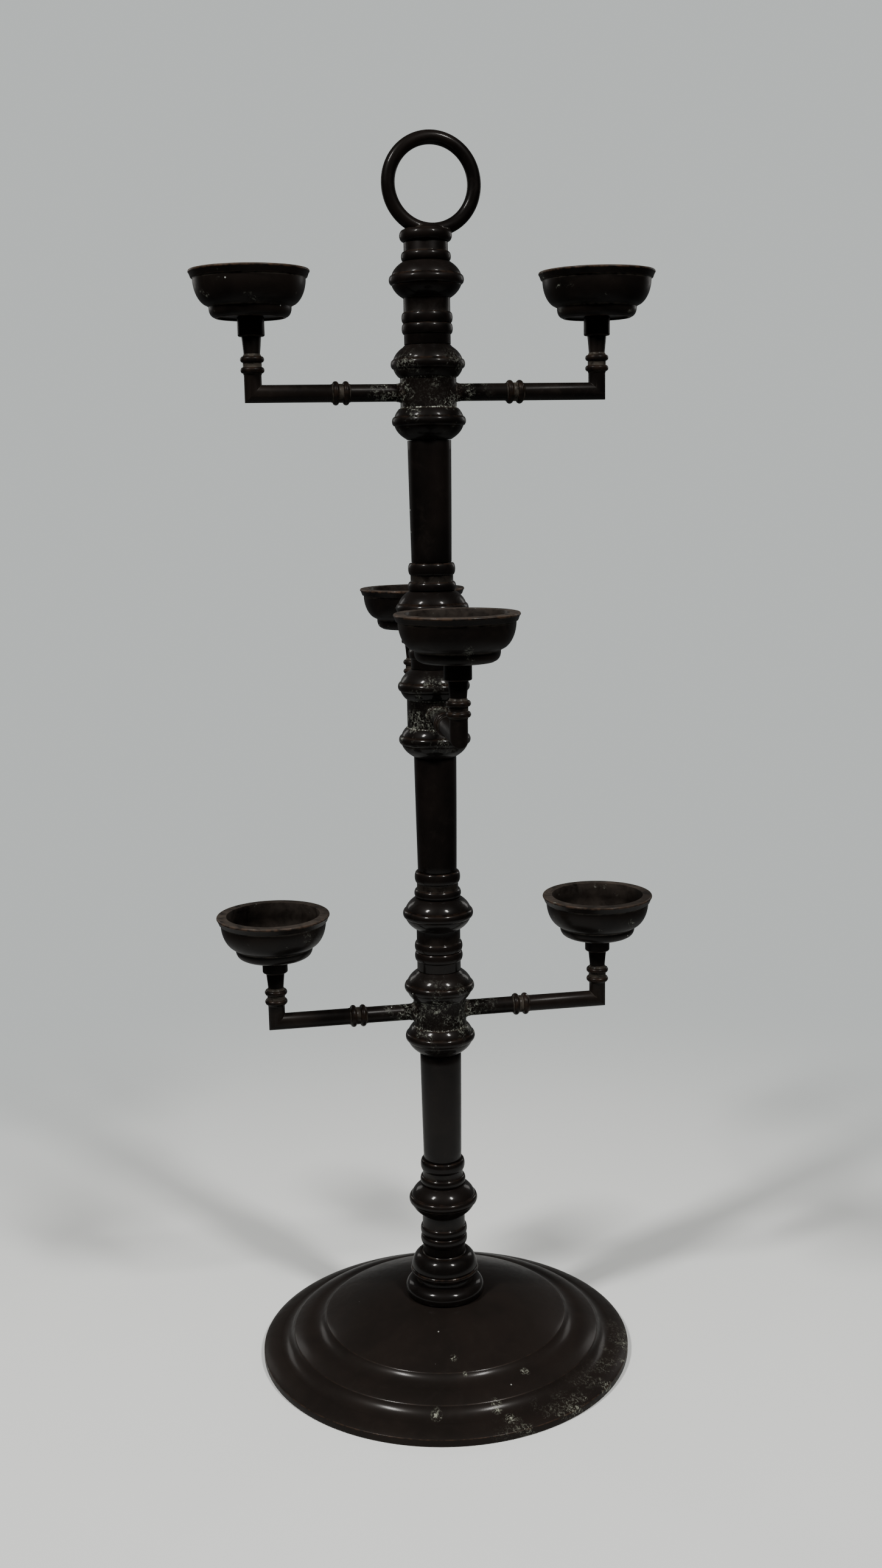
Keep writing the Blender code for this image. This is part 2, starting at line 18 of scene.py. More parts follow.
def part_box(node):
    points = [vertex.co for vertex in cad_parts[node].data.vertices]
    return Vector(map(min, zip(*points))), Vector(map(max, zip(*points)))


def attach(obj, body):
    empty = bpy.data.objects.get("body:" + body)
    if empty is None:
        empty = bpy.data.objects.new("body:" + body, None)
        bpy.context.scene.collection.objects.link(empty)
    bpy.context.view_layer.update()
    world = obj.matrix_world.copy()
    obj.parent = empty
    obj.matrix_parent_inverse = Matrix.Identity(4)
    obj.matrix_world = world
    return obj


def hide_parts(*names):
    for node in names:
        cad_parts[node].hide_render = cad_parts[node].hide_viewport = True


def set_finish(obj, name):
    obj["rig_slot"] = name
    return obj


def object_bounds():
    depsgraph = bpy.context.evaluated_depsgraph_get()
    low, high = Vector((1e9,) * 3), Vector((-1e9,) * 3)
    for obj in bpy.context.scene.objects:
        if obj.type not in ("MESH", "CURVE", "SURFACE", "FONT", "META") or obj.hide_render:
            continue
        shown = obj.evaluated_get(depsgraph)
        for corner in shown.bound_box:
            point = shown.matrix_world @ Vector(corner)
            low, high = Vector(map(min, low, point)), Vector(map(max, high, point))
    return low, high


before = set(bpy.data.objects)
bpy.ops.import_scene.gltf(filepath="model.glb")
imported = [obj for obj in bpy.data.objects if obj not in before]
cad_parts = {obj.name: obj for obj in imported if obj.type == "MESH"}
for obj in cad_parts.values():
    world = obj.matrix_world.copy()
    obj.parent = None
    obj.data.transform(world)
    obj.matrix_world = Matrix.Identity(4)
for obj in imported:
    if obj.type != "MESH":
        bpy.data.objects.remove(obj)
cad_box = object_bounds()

# %% [markdown]
# ## Starting a piece
#
# Blender's operators act on whatever is selected, and loading the frame leaves all of it selected.
# So every piece starts the same way: back to object mode, nothing selected, then one primitive
# added where the piece begins. A finished piece is smoothed by angle, has its place put into its
# mesh, rides on its body and hides the coarse part that it stands for.

# %% Start and finish a piece
SMOOTH_BELOW = radians(38)


def object_mode():
    if bpy.context.mode != "OBJECT":
        bpy.ops.object.mode_set(mode="OBJECT")


def pick(*objects):
    """Selects just these objects, the first one active."""
    object_mode()
    bpy.ops.object.select_all(action="DESELECT")
    for obj in objects:
        obj.select_set(True)
    bpy.context.view_layer.objects.active = objects[0]


def start(primitive, name, **where):
    object_mode()
    bpy.ops.object.select_all(action="DESELECT")
    primitive(**where)
    piece = bpy.context.object
    piece.name = piece.data.name = name
    bpy.ops.object.mode_set(mode="EDIT")
    return piece


def modify(piece, kind, **settings):
    """Adds one modifier, sets it and applies it."""
    pick(piece)
    modifier = piece.modifiers.new(kind.lower(), kind)
    for key, value in settings.items():
        setattr(modifier, key, value)
    bpy.ops.object.modifier_apply(modifier=modifier.name)
    return piece


def settle(piece, angle=0.0, shift=(0.0, 0.0, 0.0)):
    """Turns and shifts a piece, then puts its place into its mesh."""
    pick(piece)
    piece.rotation_euler.z += angle
    piece.location += Vector(shift)
    bpy.ops.object.transform_apply(location=True, rotation=True, scale=True)
    bpy.ops.object.shade_smooth_by_angle(angle=SMOOTH_BELOW)
    return piece


def stand_for(piece, body, slot, *nodes):
    """The piece moves with its body, is shown instead of these nodes and takes this finish."""
    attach(piece, body)
    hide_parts(*nodes)
    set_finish(piece, slot)
    print(f"{piece.name}: {len(piece.data.vertices)} points, stands for {', '.join(nodes)}")


def span(node):
    """Lowest and highest z of a part, and its radius about its own axis."""
    low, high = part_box(node)
    return low.z, high.z, (high.x - low.x) / 2


# %% [markdown]
# ## A lathe
#
# Nearly everything here was made on a lathe, so the helper works like one. It draws half of the
# piece's section as a chain of edges, each point extruded from the last, and spins the chain about
# an axis. Merging by distance closes the seam and the poles, and the normals are then turned
# outwards. A column of stacked cylinders would be quicker, but its beads would have flat sides.

# %% Turn a section about an axis
COLUMN_FACETS, BAR_FACETS, CUP_FACETS, FOOT_FACETS = 96, 48, 128, 192
MERGE = 2e-6


def turn(name, section, facets=COLUMN_FACETS, centre=(0.0, 0.0, 0.0), along="Z"):
    """Section points are (radius, distance along the axis); a bar can lie along X instead of Z."""
    axis = Vector((0, 0, 1)) if along == "Z" else Vector((1, 0, 0))
    out = Vector((1, 0, 0)) if along == "Z" else Vector((0, 0, 1))
    path = [Vector(centre) + out * r + axis * h for r, h in section]
    piece = start(bpy.ops.mesh.primitive_plane_add, name, size=0.001, location=path[0])
    bpy.ops.mesh.merge(type="CENTER")
    for here, there in zip(path, path[1:] + path[:1]):
        if (there - here).length > MERGE:
            bpy.ops.mesh.extrude_region_move(
                TRANSFORM_OT_translate={"value": there - here, "orient_type": "GLOBAL"})
    bpy.ops.mesh.select_all(action="SELECT")
    bpy.ops.mesh.spin(steps=facets, angle=2 * pi, center=centre, axis=axis)
    bpy.ops.mesh.select_all(action="SELECT")
    bpy.ops.mesh.remove_doubles(threshold=MERGE)
    bpy.ops.mesh.delete_loose(use_verts=True, use_edges=True, use_faces=False)
    bpy.ops.mesh.select_all(action="SELECT")
    bpy.ops.mesh.normals_make_consistent(inside=False)
    pick(piece)
    bpy.ops.object.transform_apply(location=True, rotation=True, scale=True)
    return piece


def arc(r, h, wide, tall, begin, end, steps=10):
    """Points on an ellipse round (r, h), between two angles in degrees; 0 is away from the axis."""
    angles = [radians(begin + (end - begin) * i / steps) for i in range(steps + 1)]
    return [(r + wide * cos(a), h + tall * sin(a)) for a in angles]


def bead(low, high, r_in, r_out, steps=12):
    """A half-round moulding between two heights."""
    return arc(r_in, (low + high) / 2, r_out - r_in, (high - low) / 2, -90, 90, steps)


# %% [markdown]
# ## Softened edges, and where the metal is worn
#
# A real turned edge is never perfectly sharp, and that thin rounding is what catches the light. A
# Bevel modifier limited by angle rounds only the hard corners. On old bronze the colour follows
# those same edges: outer ones are rubbed back to warm metal and inner corners hold dirt. The
# second helper measures how tightly the surface bends at each point and stores it on the mesh as
# an attribute, plus for an outer edge and minus for a groove, so that the material can read it.

# %% Soften the edges and mark them
TIGHT_BEND = 1 / 0.0011    # a bend this tight (one over its radius) counts as a full edge


HARD_CORNER = radians(32)  # only corners sharper than this are rounded


def soften(piece, width=0.00028, segments=2):
    """Rounds the hard corners, then welds what the rounding has pushed together."""
    modify(piece, "BEVEL", width=width, segments=segments, limit_method="ANGLE",
           angle_limit=HARD_CORNER, use_clamp_overlap=True, harden_normals=False)
    return modify(piece, "WELD", merge_threshold=2 * MERGE)


def mark_edges(piece, fade=2):
    """Stores the tightest bend round each point as the attribute `edge`, from -1 to 1."""
    bm = bmesh.new()
    bm.from_mesh(piece.data)
    bend = [0.0] * len(bm.verts)
    for edge in bm.edges:
        if len(edge.link_faces) == 2:
            across = sum(f.calc_area() for f in edge.link_faces) / max(2 * edge.calc_length(), MERGE)
            tight = edge.calc_face_angle_signed(0.0) / max(across, MERGE) / TIGHT_BEND
            for vert in edge.verts:
                if abs(tight) > abs(bend[vert.index]):
                    bend[vert.index] = max(-1.0, min(1.0, tight))
    for _ in range(fade):
        near = [[e.other_vert(v).index for e in v.link_edges] for v in bm.verts]
        bend = [0.5 * b + 0.5 * sum(bend[i] for i in n) / len(n) for b, n in zip(bend, near)]
    bm.free()
    marks = piece.data.attributes.new("edge", "FLOAT", "POINT")
    marks.data.foreach_set("value", bend)
    return piece


def copy_piece(piece, name):
    """A copy with its own mesh, as each finished piece needs."""
    pick(piece)
    bpy.ops.object.duplicate(linked=False)
    made = bpy.context.object
    made.name = made.data.name = name
    return made


# %% [markdown]
# ## The spun foot
#
# The foot is one disc of sheet brass pressed over a form on a lathe: a broad crown, two ridges with
# a hollow cove outside each, and an upright band round the rim. The section runs out along the top
# and comes back underneath, one wall's thickness lower, so the foot is hollow as the real one is.

# %% Section of the foot
foot_low, seat_z, foot_r = span("foot_dome")
base_low, base_high, mould_r = span("column_base")
ROD_HOLE_R = 0.0051
WALL = 0.0022
BAND_H, EDGE_Z, EDGE_IN, REST_W = 0.0045, 0.0063, 0.0037, 0.0045
OUTER_RIDGE = (foot_r - 0.0202, 0.0146)
INNER_RIDGE = (foot_r - 0.0413, 0.0236)
COVE_W, OUTER_COVE_H, INNER_COVE_H = 0.0100, 0.0063, 0.0052
COVE_START = 25            # degrees of the cove's quarter round that the ridge cuts off
CROWN_POWER = 1.6          # how late the crown rolls over


def cove(ridge, drop, steps=12):
    """A hollow that falls steeply from the ridge and ends level."""
    a0 = radians(COVE_START)
    angles = [a0 + (pi / 2 - a0) * i / steps for i in range(steps + 1)]
    return [(ridge[0] + COVE_W * (cos(a0) - cos(a)) / cos(a0),
             ridge[1] - drop * (sin(a) - sin(a0)) / (1 - sin(a0))) for a in angles]


def crown(inner, outer, steps):
    """A slope that leaves its inner end level and rolls over towards its outer end."""
    return [(inner[0] + (outer[0] - inner[0]) * i / steps,
             inner[1] + (outer[1] - inner[1]) * (i / steps) ** CROWN_POWER)
            for i in range(1, steps)]


inner_cove, outer_cove = cove(INNER_RIDGE, INNER_COVE_H), cove(OUTER_RIDGE, OUTER_COVE_H)
foot_top = [(ROD_HOLE_R, seat_z), (mould_r - 0.004, seat_z), (mould_r, seat_z)]
foot_top += crown((mould_r, seat_z), INNER_RIDGE, 22) + inner_cove
foot_top += crown(inner_cove[-1], OUTER_RIDGE, 8) + outer_cove
rim = [(foot_r - EDGE_IN, EDGE_Z), (foot_r, BAND_H), (foot_r, foot_low)]
rim_inside = foot_r - REST_W
below = [(rim_inside, foot_low), (rim_inside, EDGE_Z - WALL)]
below += [(r, z - WALL) for r, z in reversed(foot_top)]
print("foot section", len(foot_top + rim + below), "points, radius", round(foot_r, 4))

# %% Turn the foot
foot = turn("spun_foot", foot_top + rim + below, FOOT_FACETS)
mark_edges(settle(soften(foot, 0.0005, 3)))
stand_for(foot, "stand", "foot_bronze", "foot_dome")

# %% [markdown]
# ## The column base
#
# A fat half-round moulding sits on the foot, then a groove, then a bell with a fine lip that
# narrows to the column's neck. The quarter curves are arcs of ellipses, wide where the bell is
# wide, so the whole silhouette comes from a handful of radii.

# %% Turn the base
BORE_R = 0.0108
NECK_R = BORE_R + 0.0030
GROOVE_R = mould_r - 0.0075
MOULD_FLAT, MOULD_H, GROOVE_H, LIP_H = 0.0034, 0.0100, 0.0042, 0.0034
BELL_R = GROOVE_R + 0.0032
LIP_OUT = 0.0006
MOULD_TUCK = 0.0010
NECK_SWEEP = 0.0012        # small hollow where the bell meets the neck

lip_z = base_low + MOULD_H + GROOVE_H
mould_z = base_low + MOULD_FLAT
base_section = [(BORE_R, base_low), (mould_r - MOULD_TUCK, base_low)]
base_section += arc(mould_r - MOULD_TUCK, mould_z, MOULD_TUCK, MOULD_FLAT, -90, 0, 5)[1:]
base_section += arc(GROOVE_R, mould_z, mould_r - GROOVE_R, MOULD_H - MOULD_FLAT, 0, 90, 14)[1:]
base_section += [(GROOVE_R, lip_z)]
base_section += bead(lip_z, lip_z + LIP_H, BELL_R - LIP_OUT, BELL_R + LIP_OUT)
base_section += arc(NECK_R, lip_z + LIP_H, BELL_R - NECK_R, base_high - lip_z - LIP_H, 4, 78, 16)
base_section += arc(NECK_R + NECK_SWEEP, base_high, -NECK_SWEEP, -NECK_SWEEP / 2, 60, 0, 4)
base_section += [(BORE_R, base_high)]
base = turn("turned_base", base_section)
mark_edges(settle(soften(base)))
stand_for(base, "stand", "column_bronze", "column_base")

# %% [markdown]
# ## Knops and spacers
#
# The column repeats one idea: a flattened ball, the knop, with a raised ring on its widest line.
# A spacer carries a pair of beads below its knop and a bead on its shoulder. All four spacers share
# the section, and only the top one stops early, where the carrying ring stands on it. One is
# turned, and the others are copies lifted to their places.

# %% Section of a knop
knop_out = span("lower_hub")[2]
RING_PROUD, RING_H, RING_QUIRK = 0.00115, 0.0056, 0.00025
KNOP_R, KNOP_B = knop_out - RING_PROUD, 0.0137


def knop(z, r_below, r_above):
    """The ball is cut off at two radii; its ring stands on a narrow step above and below."""
    low, high = (acos(r / KNOP_R) * 180 / pi for r in (r_below, r_above))
    edge = asin(RING_H / 2 / KNOP_B) * 180 / pi
    root = KNOP_R * cos(radians(edge)) - RING_QUIRK
    return (arc(0, z, KNOP_R, KNOP_B, -low, -edge) +
            bead(z - RING_H / 2, z + RING_H / 2, root, knop_out) +
            arc(0, z, KNOP_R, KNOP_B, edge, high))


# %% Turn the spacers
SPIGOT = 0.0030            # a spigot reaches this far into the next piece
FOOT_L, TWIN_H, TWIN_NECK_L = 0.0058, 0.0063, 0.0080
TWIN_R = NECK_R + 0.00135
CAP_NECK_R, CAP_R, CAP_IN, CAP_H, CAP_NECK_L = 0.0130, 0.0147, 0.0006, 0.0058, 0.0039
END_R = CAP_NECK_R + 0.0013
KNOP_UP = FOOT_L + 2 * TWIN_H + TWIN_NECK_L + KNOP_B * sin(acos(NECK_R / KNOP_R))
SEAM = 0.0001              # hairline between two pieces of the column


def spacer_section(low, high, end_bead):
    twin = low + FOOT_L
    section = [(BORE_R, low), (NECK_R, low)]
    section += bead(twin, twin + TWIN_H, NECK_R, TWIN_R)
    section += bead(twin + TWIN_H, twin + 2 * TWIN_H, NECK_R, TWIN_R)
    section += knop(low + KNOP_UP, NECK_R, CAP_R - CAP_IN)
    cap = section[-1][1]
    section += bead(cap, cap + CAP_H, CAP_NECK_R, CAP_R)
    if end_bead:
        section += bead(cap + CAP_H + CAP_NECK_L, high, CAP_NECK_R, END_R)
    else:
        section += [(CAP_NECK_R, high)]
    return section + [(BORE_R, high)]


spacers = {}
for node in ("base_spacer", "lower_spacer", "middle_spacer", "top_spacer"):
    low, high = span(node)[0] + SPIGOT + SEAM, span(node)[1]
    if node in ("base_spacer", "top_spacer"):
        section = spacer_section(low, high, node != "top_spacer")
        spacers[node] = mark_edges(settle(soften(turn("turned_" + node, section))))
        first_low = low
    else:
        spacers[node] = settle(copy_piece(spacers["base_spacer"], "turned_" + node),
                               shift=(0, 0, low - first_low))
    stand_for(spacers[node], "stand", "column_bronze", node)

# %% [markdown]
# ## Shafts
#
# The plain lengths between are tubes that widen slightly upwards. They get a very slight swelling
# as well, less than the thickness of a hair, because a hand-finished shaft is never dead straight
# and a dead straight one shows as a ruled, plastic-looking highlight.

# %% Turn the shafts
SHAFT_LOW_R, SHAFT_TOP_R, SWELL = 0.0122, 0.01315, 0.00006
SHAFT_STEPS = 12
shaft_low, shaft_high = span("lower_shaft")[0] + SPIGOT + SEAM, span("lower_shaft")[1] - SPIGOT
shaft_l = shaft_high - shaft_low
walls = [(SHAFT_LOW_R + (SHAFT_TOP_R - SHAFT_LOW_R) * t + SWELL * sin(pi * t),
          shaft_low + shaft_l * t)
         for t in (i / SHAFT_STEPS for i in range(SHAFT_STEPS + 1))]
shaft = turn("turned_lower_shaft", [(BORE_R, shaft_low)] + walls + [(BORE_R, shaft_high)])
mark_edges(settle(soften(shaft)))
stand_for(shaft, "stand", "column_bronze", "lower_shaft")
for node in ("middle_shaft", "upper_shaft"):
    lift = span(node)[0] - span("lower_shaft")[0]
    stand_for(settle(copy_piece(shaft, "turned_" + node), shift=(0, 0, lift)),
              "stand", "column_bronze", node)

# %% [markdown]
# ## Hubs
#
# A hub is the piece that turns: a knop, a plain barrel that the two arms are brazed into, and a
# second knop, all in one turning. Each hub rides on its own tier. The same mesh serves all three,
# and each copy is turned with its tier, so that its arms meet it at the same spot.

# %% Turn the hubs
TIERS = {"lower": ("left", "right"), "middle": ("back", "front"), "upper": ("left", "right")}
BARREL_R, HUB_KNOP_UP = 0.01675, 0.0108
BARREL_SWEEP = 0.0009      # small hollow where the barrel meets each knop


def tier_place(tier, side):
    """Direction of an arm round the column, and the height of its axis."""
    low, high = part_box(f"{tier}_cup_{side}")
    arm_low, arm_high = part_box(f"{tier}_arm_{side}")
    middle = (low + high) / 2
    return atan2(middle.y, middle.x), (arm_low.z + arm_high.z) / 2


hub_low, hub_high, _ = span("lower_hub")
under = knop(hub_low + HUB_KNOP_UP, SHAFT_TOP_R, BARREL_R + BARREL_SWEEP)
over = knop(hub_high - HUB_KNOP_UP, BARREL_R + BARREL_SWEEP, NECK_R)
under_end, over_start = under[-1][1], over[0][1]
hub_section = [(BORE_R, hub_low), (SHAFT_TOP_R, hub_low)] + under[1:]
sweep_r = BARREL_R + BARREL_SWEEP
hub_section += arc(sweep_r, under_end + BARREL_SWEEP, -BARREL_SWEEP, -BARREL_SWEEP, 70, 0, 4)
hub_section += arc(sweep_r, over_start - BARREL_SWEEP, -BARREL_SWEEP, BARREL_SWEEP, 0, 70, 4)
hub_section += over[:-1] + [(NECK_R, hub_high), (BORE_R, hub_high)]
hub = mark_edges(settle(soften(turn("turned_lower_hub", hub_section))))
hubs = {"lower": hub}
for tier in ("middle", "upper"):
    angle, height = tier_place(tier, TIERS[tier][1])
    hubs[tier] = settle(copy_piece(hub, f"turned_{tier}_hub"), angle,
                        (0, 0, span(tier + "_hub")[0] - hub_low))
for tier, piece in hubs.items():
    stand_for(piece, tier + "_tier", "column_bronze", tier + "_hub")

# %% [markdown]
# ## Arms and risers
#
# Arm and riser are two turned bars cut at 45 degrees and brazed into one square corner. Both are
# spun with the same number of facets, the bisect tool cuts each with the same slanting plane, and
# merging by distance then welds the two ovals into a true mitre. Bending one bar round a corner
# would give a soft elbow, and the real one has a crisp outer corner.

# %% Turn the two bars and cut them
cup_low, cup_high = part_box("lower_cup_right")
REACH = (cup_low.x + cup_high.x) / 2
ARM_R, ARM_ROOT = 0.00515, BARREL_R - 0.0045
BEAD_R, WAIST_R, BEAD_L, BEAD_PITCH = ARM_R + 0.00185, ARM_R + 0.00035, 0.0035, 0.0061
ARM_BEADS_AT, RISER_BEADS_AT = 0.0525, 0.01645
RISER_WAIST_R, RISER_TOP_R, RISER_TOP = 0.0048, 0.0057, 0.0321
PAST = 0.012               # each bar is drawn this far past the corner, then cut


def bar_beads(at):
    section = []
    for middle in (at - BEAD_PITCH / 2, at + BEAD_PITCH / 2):
        section += bead(middle - BEAD_L / 2, middle + BEAD_L / 2, WAIST_R, BEAD_R, 10)
    return section


arm_section = [(0.0, ARM_ROOT), (ARM_R, ARM_ROOT), (ARM_R, ARM_BEADS_AT - BEAD_PITCH)]
arm_section += bar_beads(ARM_BEADS_AT)
arm_section += [(ARM_R, ARM_BEADS_AT + BEAD_PITCH), (ARM_R, REACH + PAST), (0.0, REACH + PAST)]
riser_section = [(0.0, -PAST), (ARM_R, -PAST), (ARM_R, RISER_BEADS_AT - BEAD_PITCH)]
riser_section += bar_beads(RISER_BEADS_AT)
riser_section += [(RISER_WAIST_R, RISER_BEADS_AT + BEAD_PITCH), (RISER_TOP_R, RISER_TOP),
                  (0.0, RISER_TOP)]


def cut(piece, point, normal):
    """Removes what lies on the normal's side of a plane."""
    pick(piece)
    bpy.ops.object.mode_set(mode="EDIT")
    bpy.ops.mesh.select_all(action="SELECT")
    bpy.ops.mesh.bisect(plane_co=point, plane_no=normal, use_fill=False, clear_outer=True)
    object_mode()


arm = turn("arm_and_riser", arm_section, BAR_FACETS, along="X")
riser = turn("riser_bar", riser_section, BAR_FACETS, centre=(REACH, 0, 0))
corner = (REACH, 0, 0)
cut(arm, corner, (1, 0, 1))
cut(riser, corner, (-1, 0, -1))
pick(arm, riser)
bpy.ops.object.join()
bpy.ops.object.mode_set(mode="EDIT")
bpy.ops.mesh.select_all(action="SELECT")
bpy.ops.mesh.remove_doubles(threshold=5 * MERGE)
bpy.ops.mesh.normals_make_consistent(inside=False)
mark_edges(settle(soften(arm, 0.00022)))
loose_edges = sum(1 for e in arm.data.edges if e.is_loose)
print("elbow welded:", len(arm.data.vertices), "points,", loose_edges, "loose edges")

# %% [markdown]
# ## Braze round the arm's root
#
# Where an arm enters its hub a little braze and solder has run out and set in lumps. A short flared
# ring is turned on the arm's axis, sunk into the barrel, and a Displace modifier with a cloud
# texture pushes its surface in and out by a fraction of a millimetre.

# %% Turn the braze and make it lumpy
BRAZE_IN, BRAZE_OUT, BRAZE_FLARE = 0.0138, 0.0192, 0.0021
BRAZE_FACETS = 64
BRAZE_SUNK = 0.0006        # how far its inside lies under the arm's skin
BRAZE_BAND = 0.0022        # straight length, inside the barrel, before it flares
LUMP, LUMP_SIZE, LUMP_MIDDLE = 0.0009, 0.0016, 0.45
flare_h = BRAZE_IN + BRAZE_BAND - BRAZE_OUT
braze_section = [(ARM_R - BRAZE_SUNK, BRAZE_IN), (ARM_R + BRAZE_FLARE, BRAZE_IN)]
braze_section += arc(ARM_R + BRAZE_FLARE, BRAZE_OUT, -BRAZE_FLARE, flare_h, 90, 0, 8)
braze_section += [(ARM_R - BRAZE_SUNK, BRAZE_OUT)]
braze = turn("braze", braze_section, BRAZE_FACETS, along="X")
pick(braze)
bpy.ops.object.mode_set(mode="EDIT")
bpy.ops.mesh.select_all(action="SELECT")
bpy.ops.mesh.subdivide(number_cuts=1, smoothness=0)
object_mode()
clouds = bpy.data.textures.new("braze_lumps", "CLOUDS")
clouds.noise_scale = LUMP_SIZE
modify(braze, "DISPLACE", texture=clouds, strength=LUMP, mid_level=LUMP_MIDDLE,
       texture_coords="LOCAL")
mark_edges(settle(braze))
print("braze", round(BRAZE_OUT - BRAZE_IN, 4), "long,", len(braze.data.vertices), "points")

# %% [markdown]
# ## Collar, cup and screw
#
# A collar slips over the riser and the cup stands on it, held by a slotted screw through its
# floor. The cup is one casting cleaned up on the lathe: a tapered foot, a round bowl, a plain band
# round the lip with a step under it, and a broad flat lip that is slightly dished. The screw's slot
# is cut with a Boolean, because it runs straight across a round head.

# %% Section of the cup
CUP_R, CUP_H = (cup_high.x - cup_low.x) / 2, cup_high.z - cup_low.z
LIP_W, LIP_BAND, LIP_IN, LIP_STEP = 0.0061, 0.0045, 0.0015, 0.0009
CUP_FOOT_H, CUP_FOOT_R, CUP_FOOT_LOW_R = 0.0065, CUP_R - 0.0111, CUP_R - 0.0147
RECESS, FOOT_RING_W = 0.0014, 0.0012
FOOT_EDGE_OUT, FOOT_EDGE_UP = 0.0005, 0.0004
FOOT_SWEEP_DOWN, FOOT_SWEEP_H = 0.0009, 0.0052
BAND_LEAN = (0.35, 0.42)   # shares of LIP_IN and LIP_BAND at which the band starts to turn over
LIP_ROUND = (0.55, 0.75)   # the lip's rounding, as shares of LIP_IN outwards and upwards
MOUTH_IN, FLOOR_COVE_OUT = 0.0006, 0.0012
FLOOR_DOWN, FLOOR_R, COVE_R, DISH = 0.0185, CUP_R - LIP_W - 0.0064, 0.0034, 0.0003
SCREW_HOLE_R, HEAD_R, HEAD_H, SINK_R = 0.0025, 0.0044, 0.0022, 0.0050
SINK = 0.0028
mouth_r, bowl_r = CUP_R - LIP_W, CUP_R - LIP_IN - LIP_STEP
bowl_z, ring_in = -CUP_H + CUP_FOOT_H, CUP_FOOT_LOW_R - FOOT_RING_W

cup_section = [(SCREW_HOLE_R, RECESS - CUP_H), (ring_in, RECESS - CUP_H), (ring_in, -CUP_H)]
cup_section += [(CUP_FOOT_LOW_R, -CUP_H), (CUP_FOOT_LOW_R + FOOT_EDGE_OUT, -CUP_H + FOOT_EDGE_UP)]
cup_section += arc(CUP_FOOT_LOW_R, bowl_z - FOOT_SWEEP_DOWN, CUP_FOOT_R - CUP_FOOT_LOW_R,
                   FOOT_SWEEP_H, -68, 0, 8)
cup_section += [(CUP_FOOT_R, bowl_z)]
cup_section += arc(FLOOR_R, -LIP_BAND, bowl_r - FLOOR_R, bowl_z + LIP_BAND, 66, 0, 16)
cup_section += [(CUP_R - LIP_IN, -LIP_BAND),
                (CUP_R - LIP_IN * BAND_LEAN[0], -LIP_BAND * BAND_LEAN[1])]
cup_section += arc(CUP_R - LIP_IN * LIP_ROUND[0], -LIP_IN * LIP_ROUND[1],
                   LIP_IN * LIP_ROUND[0], LIP_IN * LIP_ROUND[1], -10, 90, 6)
cup_section += [((CUP_R + mouth_r) / 2, -DISH), (mouth_r, 0.0)]
cup_section += [(mouth_r - MOUTH_IN, -FLOOR_DOWN / 2)]
cup_section += arc(FLOOR_R, COVE_R - FLOOR_DOWN, COVE_R + FLOOR_COVE_OUT, -COVE_R, 10, 90, 8)
cup_section += [(SINK_R, -FLOOR_DOWN), (SINK_R, -FLOOR_DOWN - SINK),
                (SCREW_HOLE_R, -FLOOR_DOWN - SINK)]
cup = mark_edges(settle(soften(turn("cup", cup_section, CUP_FACETS), 0.00035)))
print("cup", round(CUP_R * 2, 4), "wide and", round(CUP_H, 4), "high")

# %% Collar
collar_low, collar_high, collar_r = span("lower_collar_right")
COLLAR_H, COLLAR_EDGE = collar_high - collar_low, 0.0009
COLLAR_BORE = RISER_TOP_R * 0.5        # hidden on the riser, so it may reach inside it
flat_r = collar_r - COLLAR_EDGE
collar_section = [(COLLAR_BORE, 0.0), (flat_r, 0.0)]
collar_section += arc(flat_r, COLLAR_EDGE, COLLAR_EDGE, COLLAR_EDGE, -80, 0, 5)
collar_section += arc(flat_r, COLLAR_H - COLLAR_EDGE, COLLAR_EDGE, COLLAR_EDGE, 0, 80, 5)
collar_section += [(flat_r, COLLAR_H), (COLLAR_BORE, COLLAR_H)]
collar = mark_edges(settle(soften(turn("collar", collar_section, BAR_FACETS), 0.0002)))
print("collar", round(collar_r * 2, 4), "wide and", round(COLLAR_H, 4), "high")

# %% Slotted screw
SHANK_R, SLOT_W, SLOT_DEEP, HEAD_SIDE = 0.0022, 0.0009, 0.0011, 0.0006
screw_low, screw_high, _ = span("lower_cup_screw_right")
screw_l = screw_high - screw_low
head_z = screw_l - HEAD_H
screw_section = [(0.0, 0.0), (SHANK_R, 0.0), (SHANK_R, head_z), (HEAD_R, head_z)]
screw_section += arc(0.0, head_z + HEAD_SIDE, HEAD_R, HEAD_H - HEAD_SIDE, 0, 90, 8)
screw = soften(turn("screw", screw_section, BAR_FACETS), 0.00015)
slot = start(bpy.ops.mesh.primitive_cube_add, "slot_cutter", size=1, location=(0, 0, screw_l))
bpy.ops.transform.resize(value=(HEAD_R * 3, SLOT_W, 2 * SLOT_DEEP))
object_mode()
modify(screw, "BOOLEAN", operation="DIFFERENCE", object=slot, solver="EXACT")
bpy.data.objects.remove(slot)
mark_edges(settle(screw))
print("screw", round(screw_l, 4), "long,", len(screw.data.vertices), "points")

# %% [markdown]
# ## Six of each
#
# The set is made once on an arm that points along X from the column. Each of the six places is then
# read from the frame: the direction of its cup round the column, and the height of its arm. A copy
# is turned and lifted there, with its own mesh, because a finish laid on by position then differs
# from one cup to the next, as six hand-finished cups do. The screws stop at odd angles.

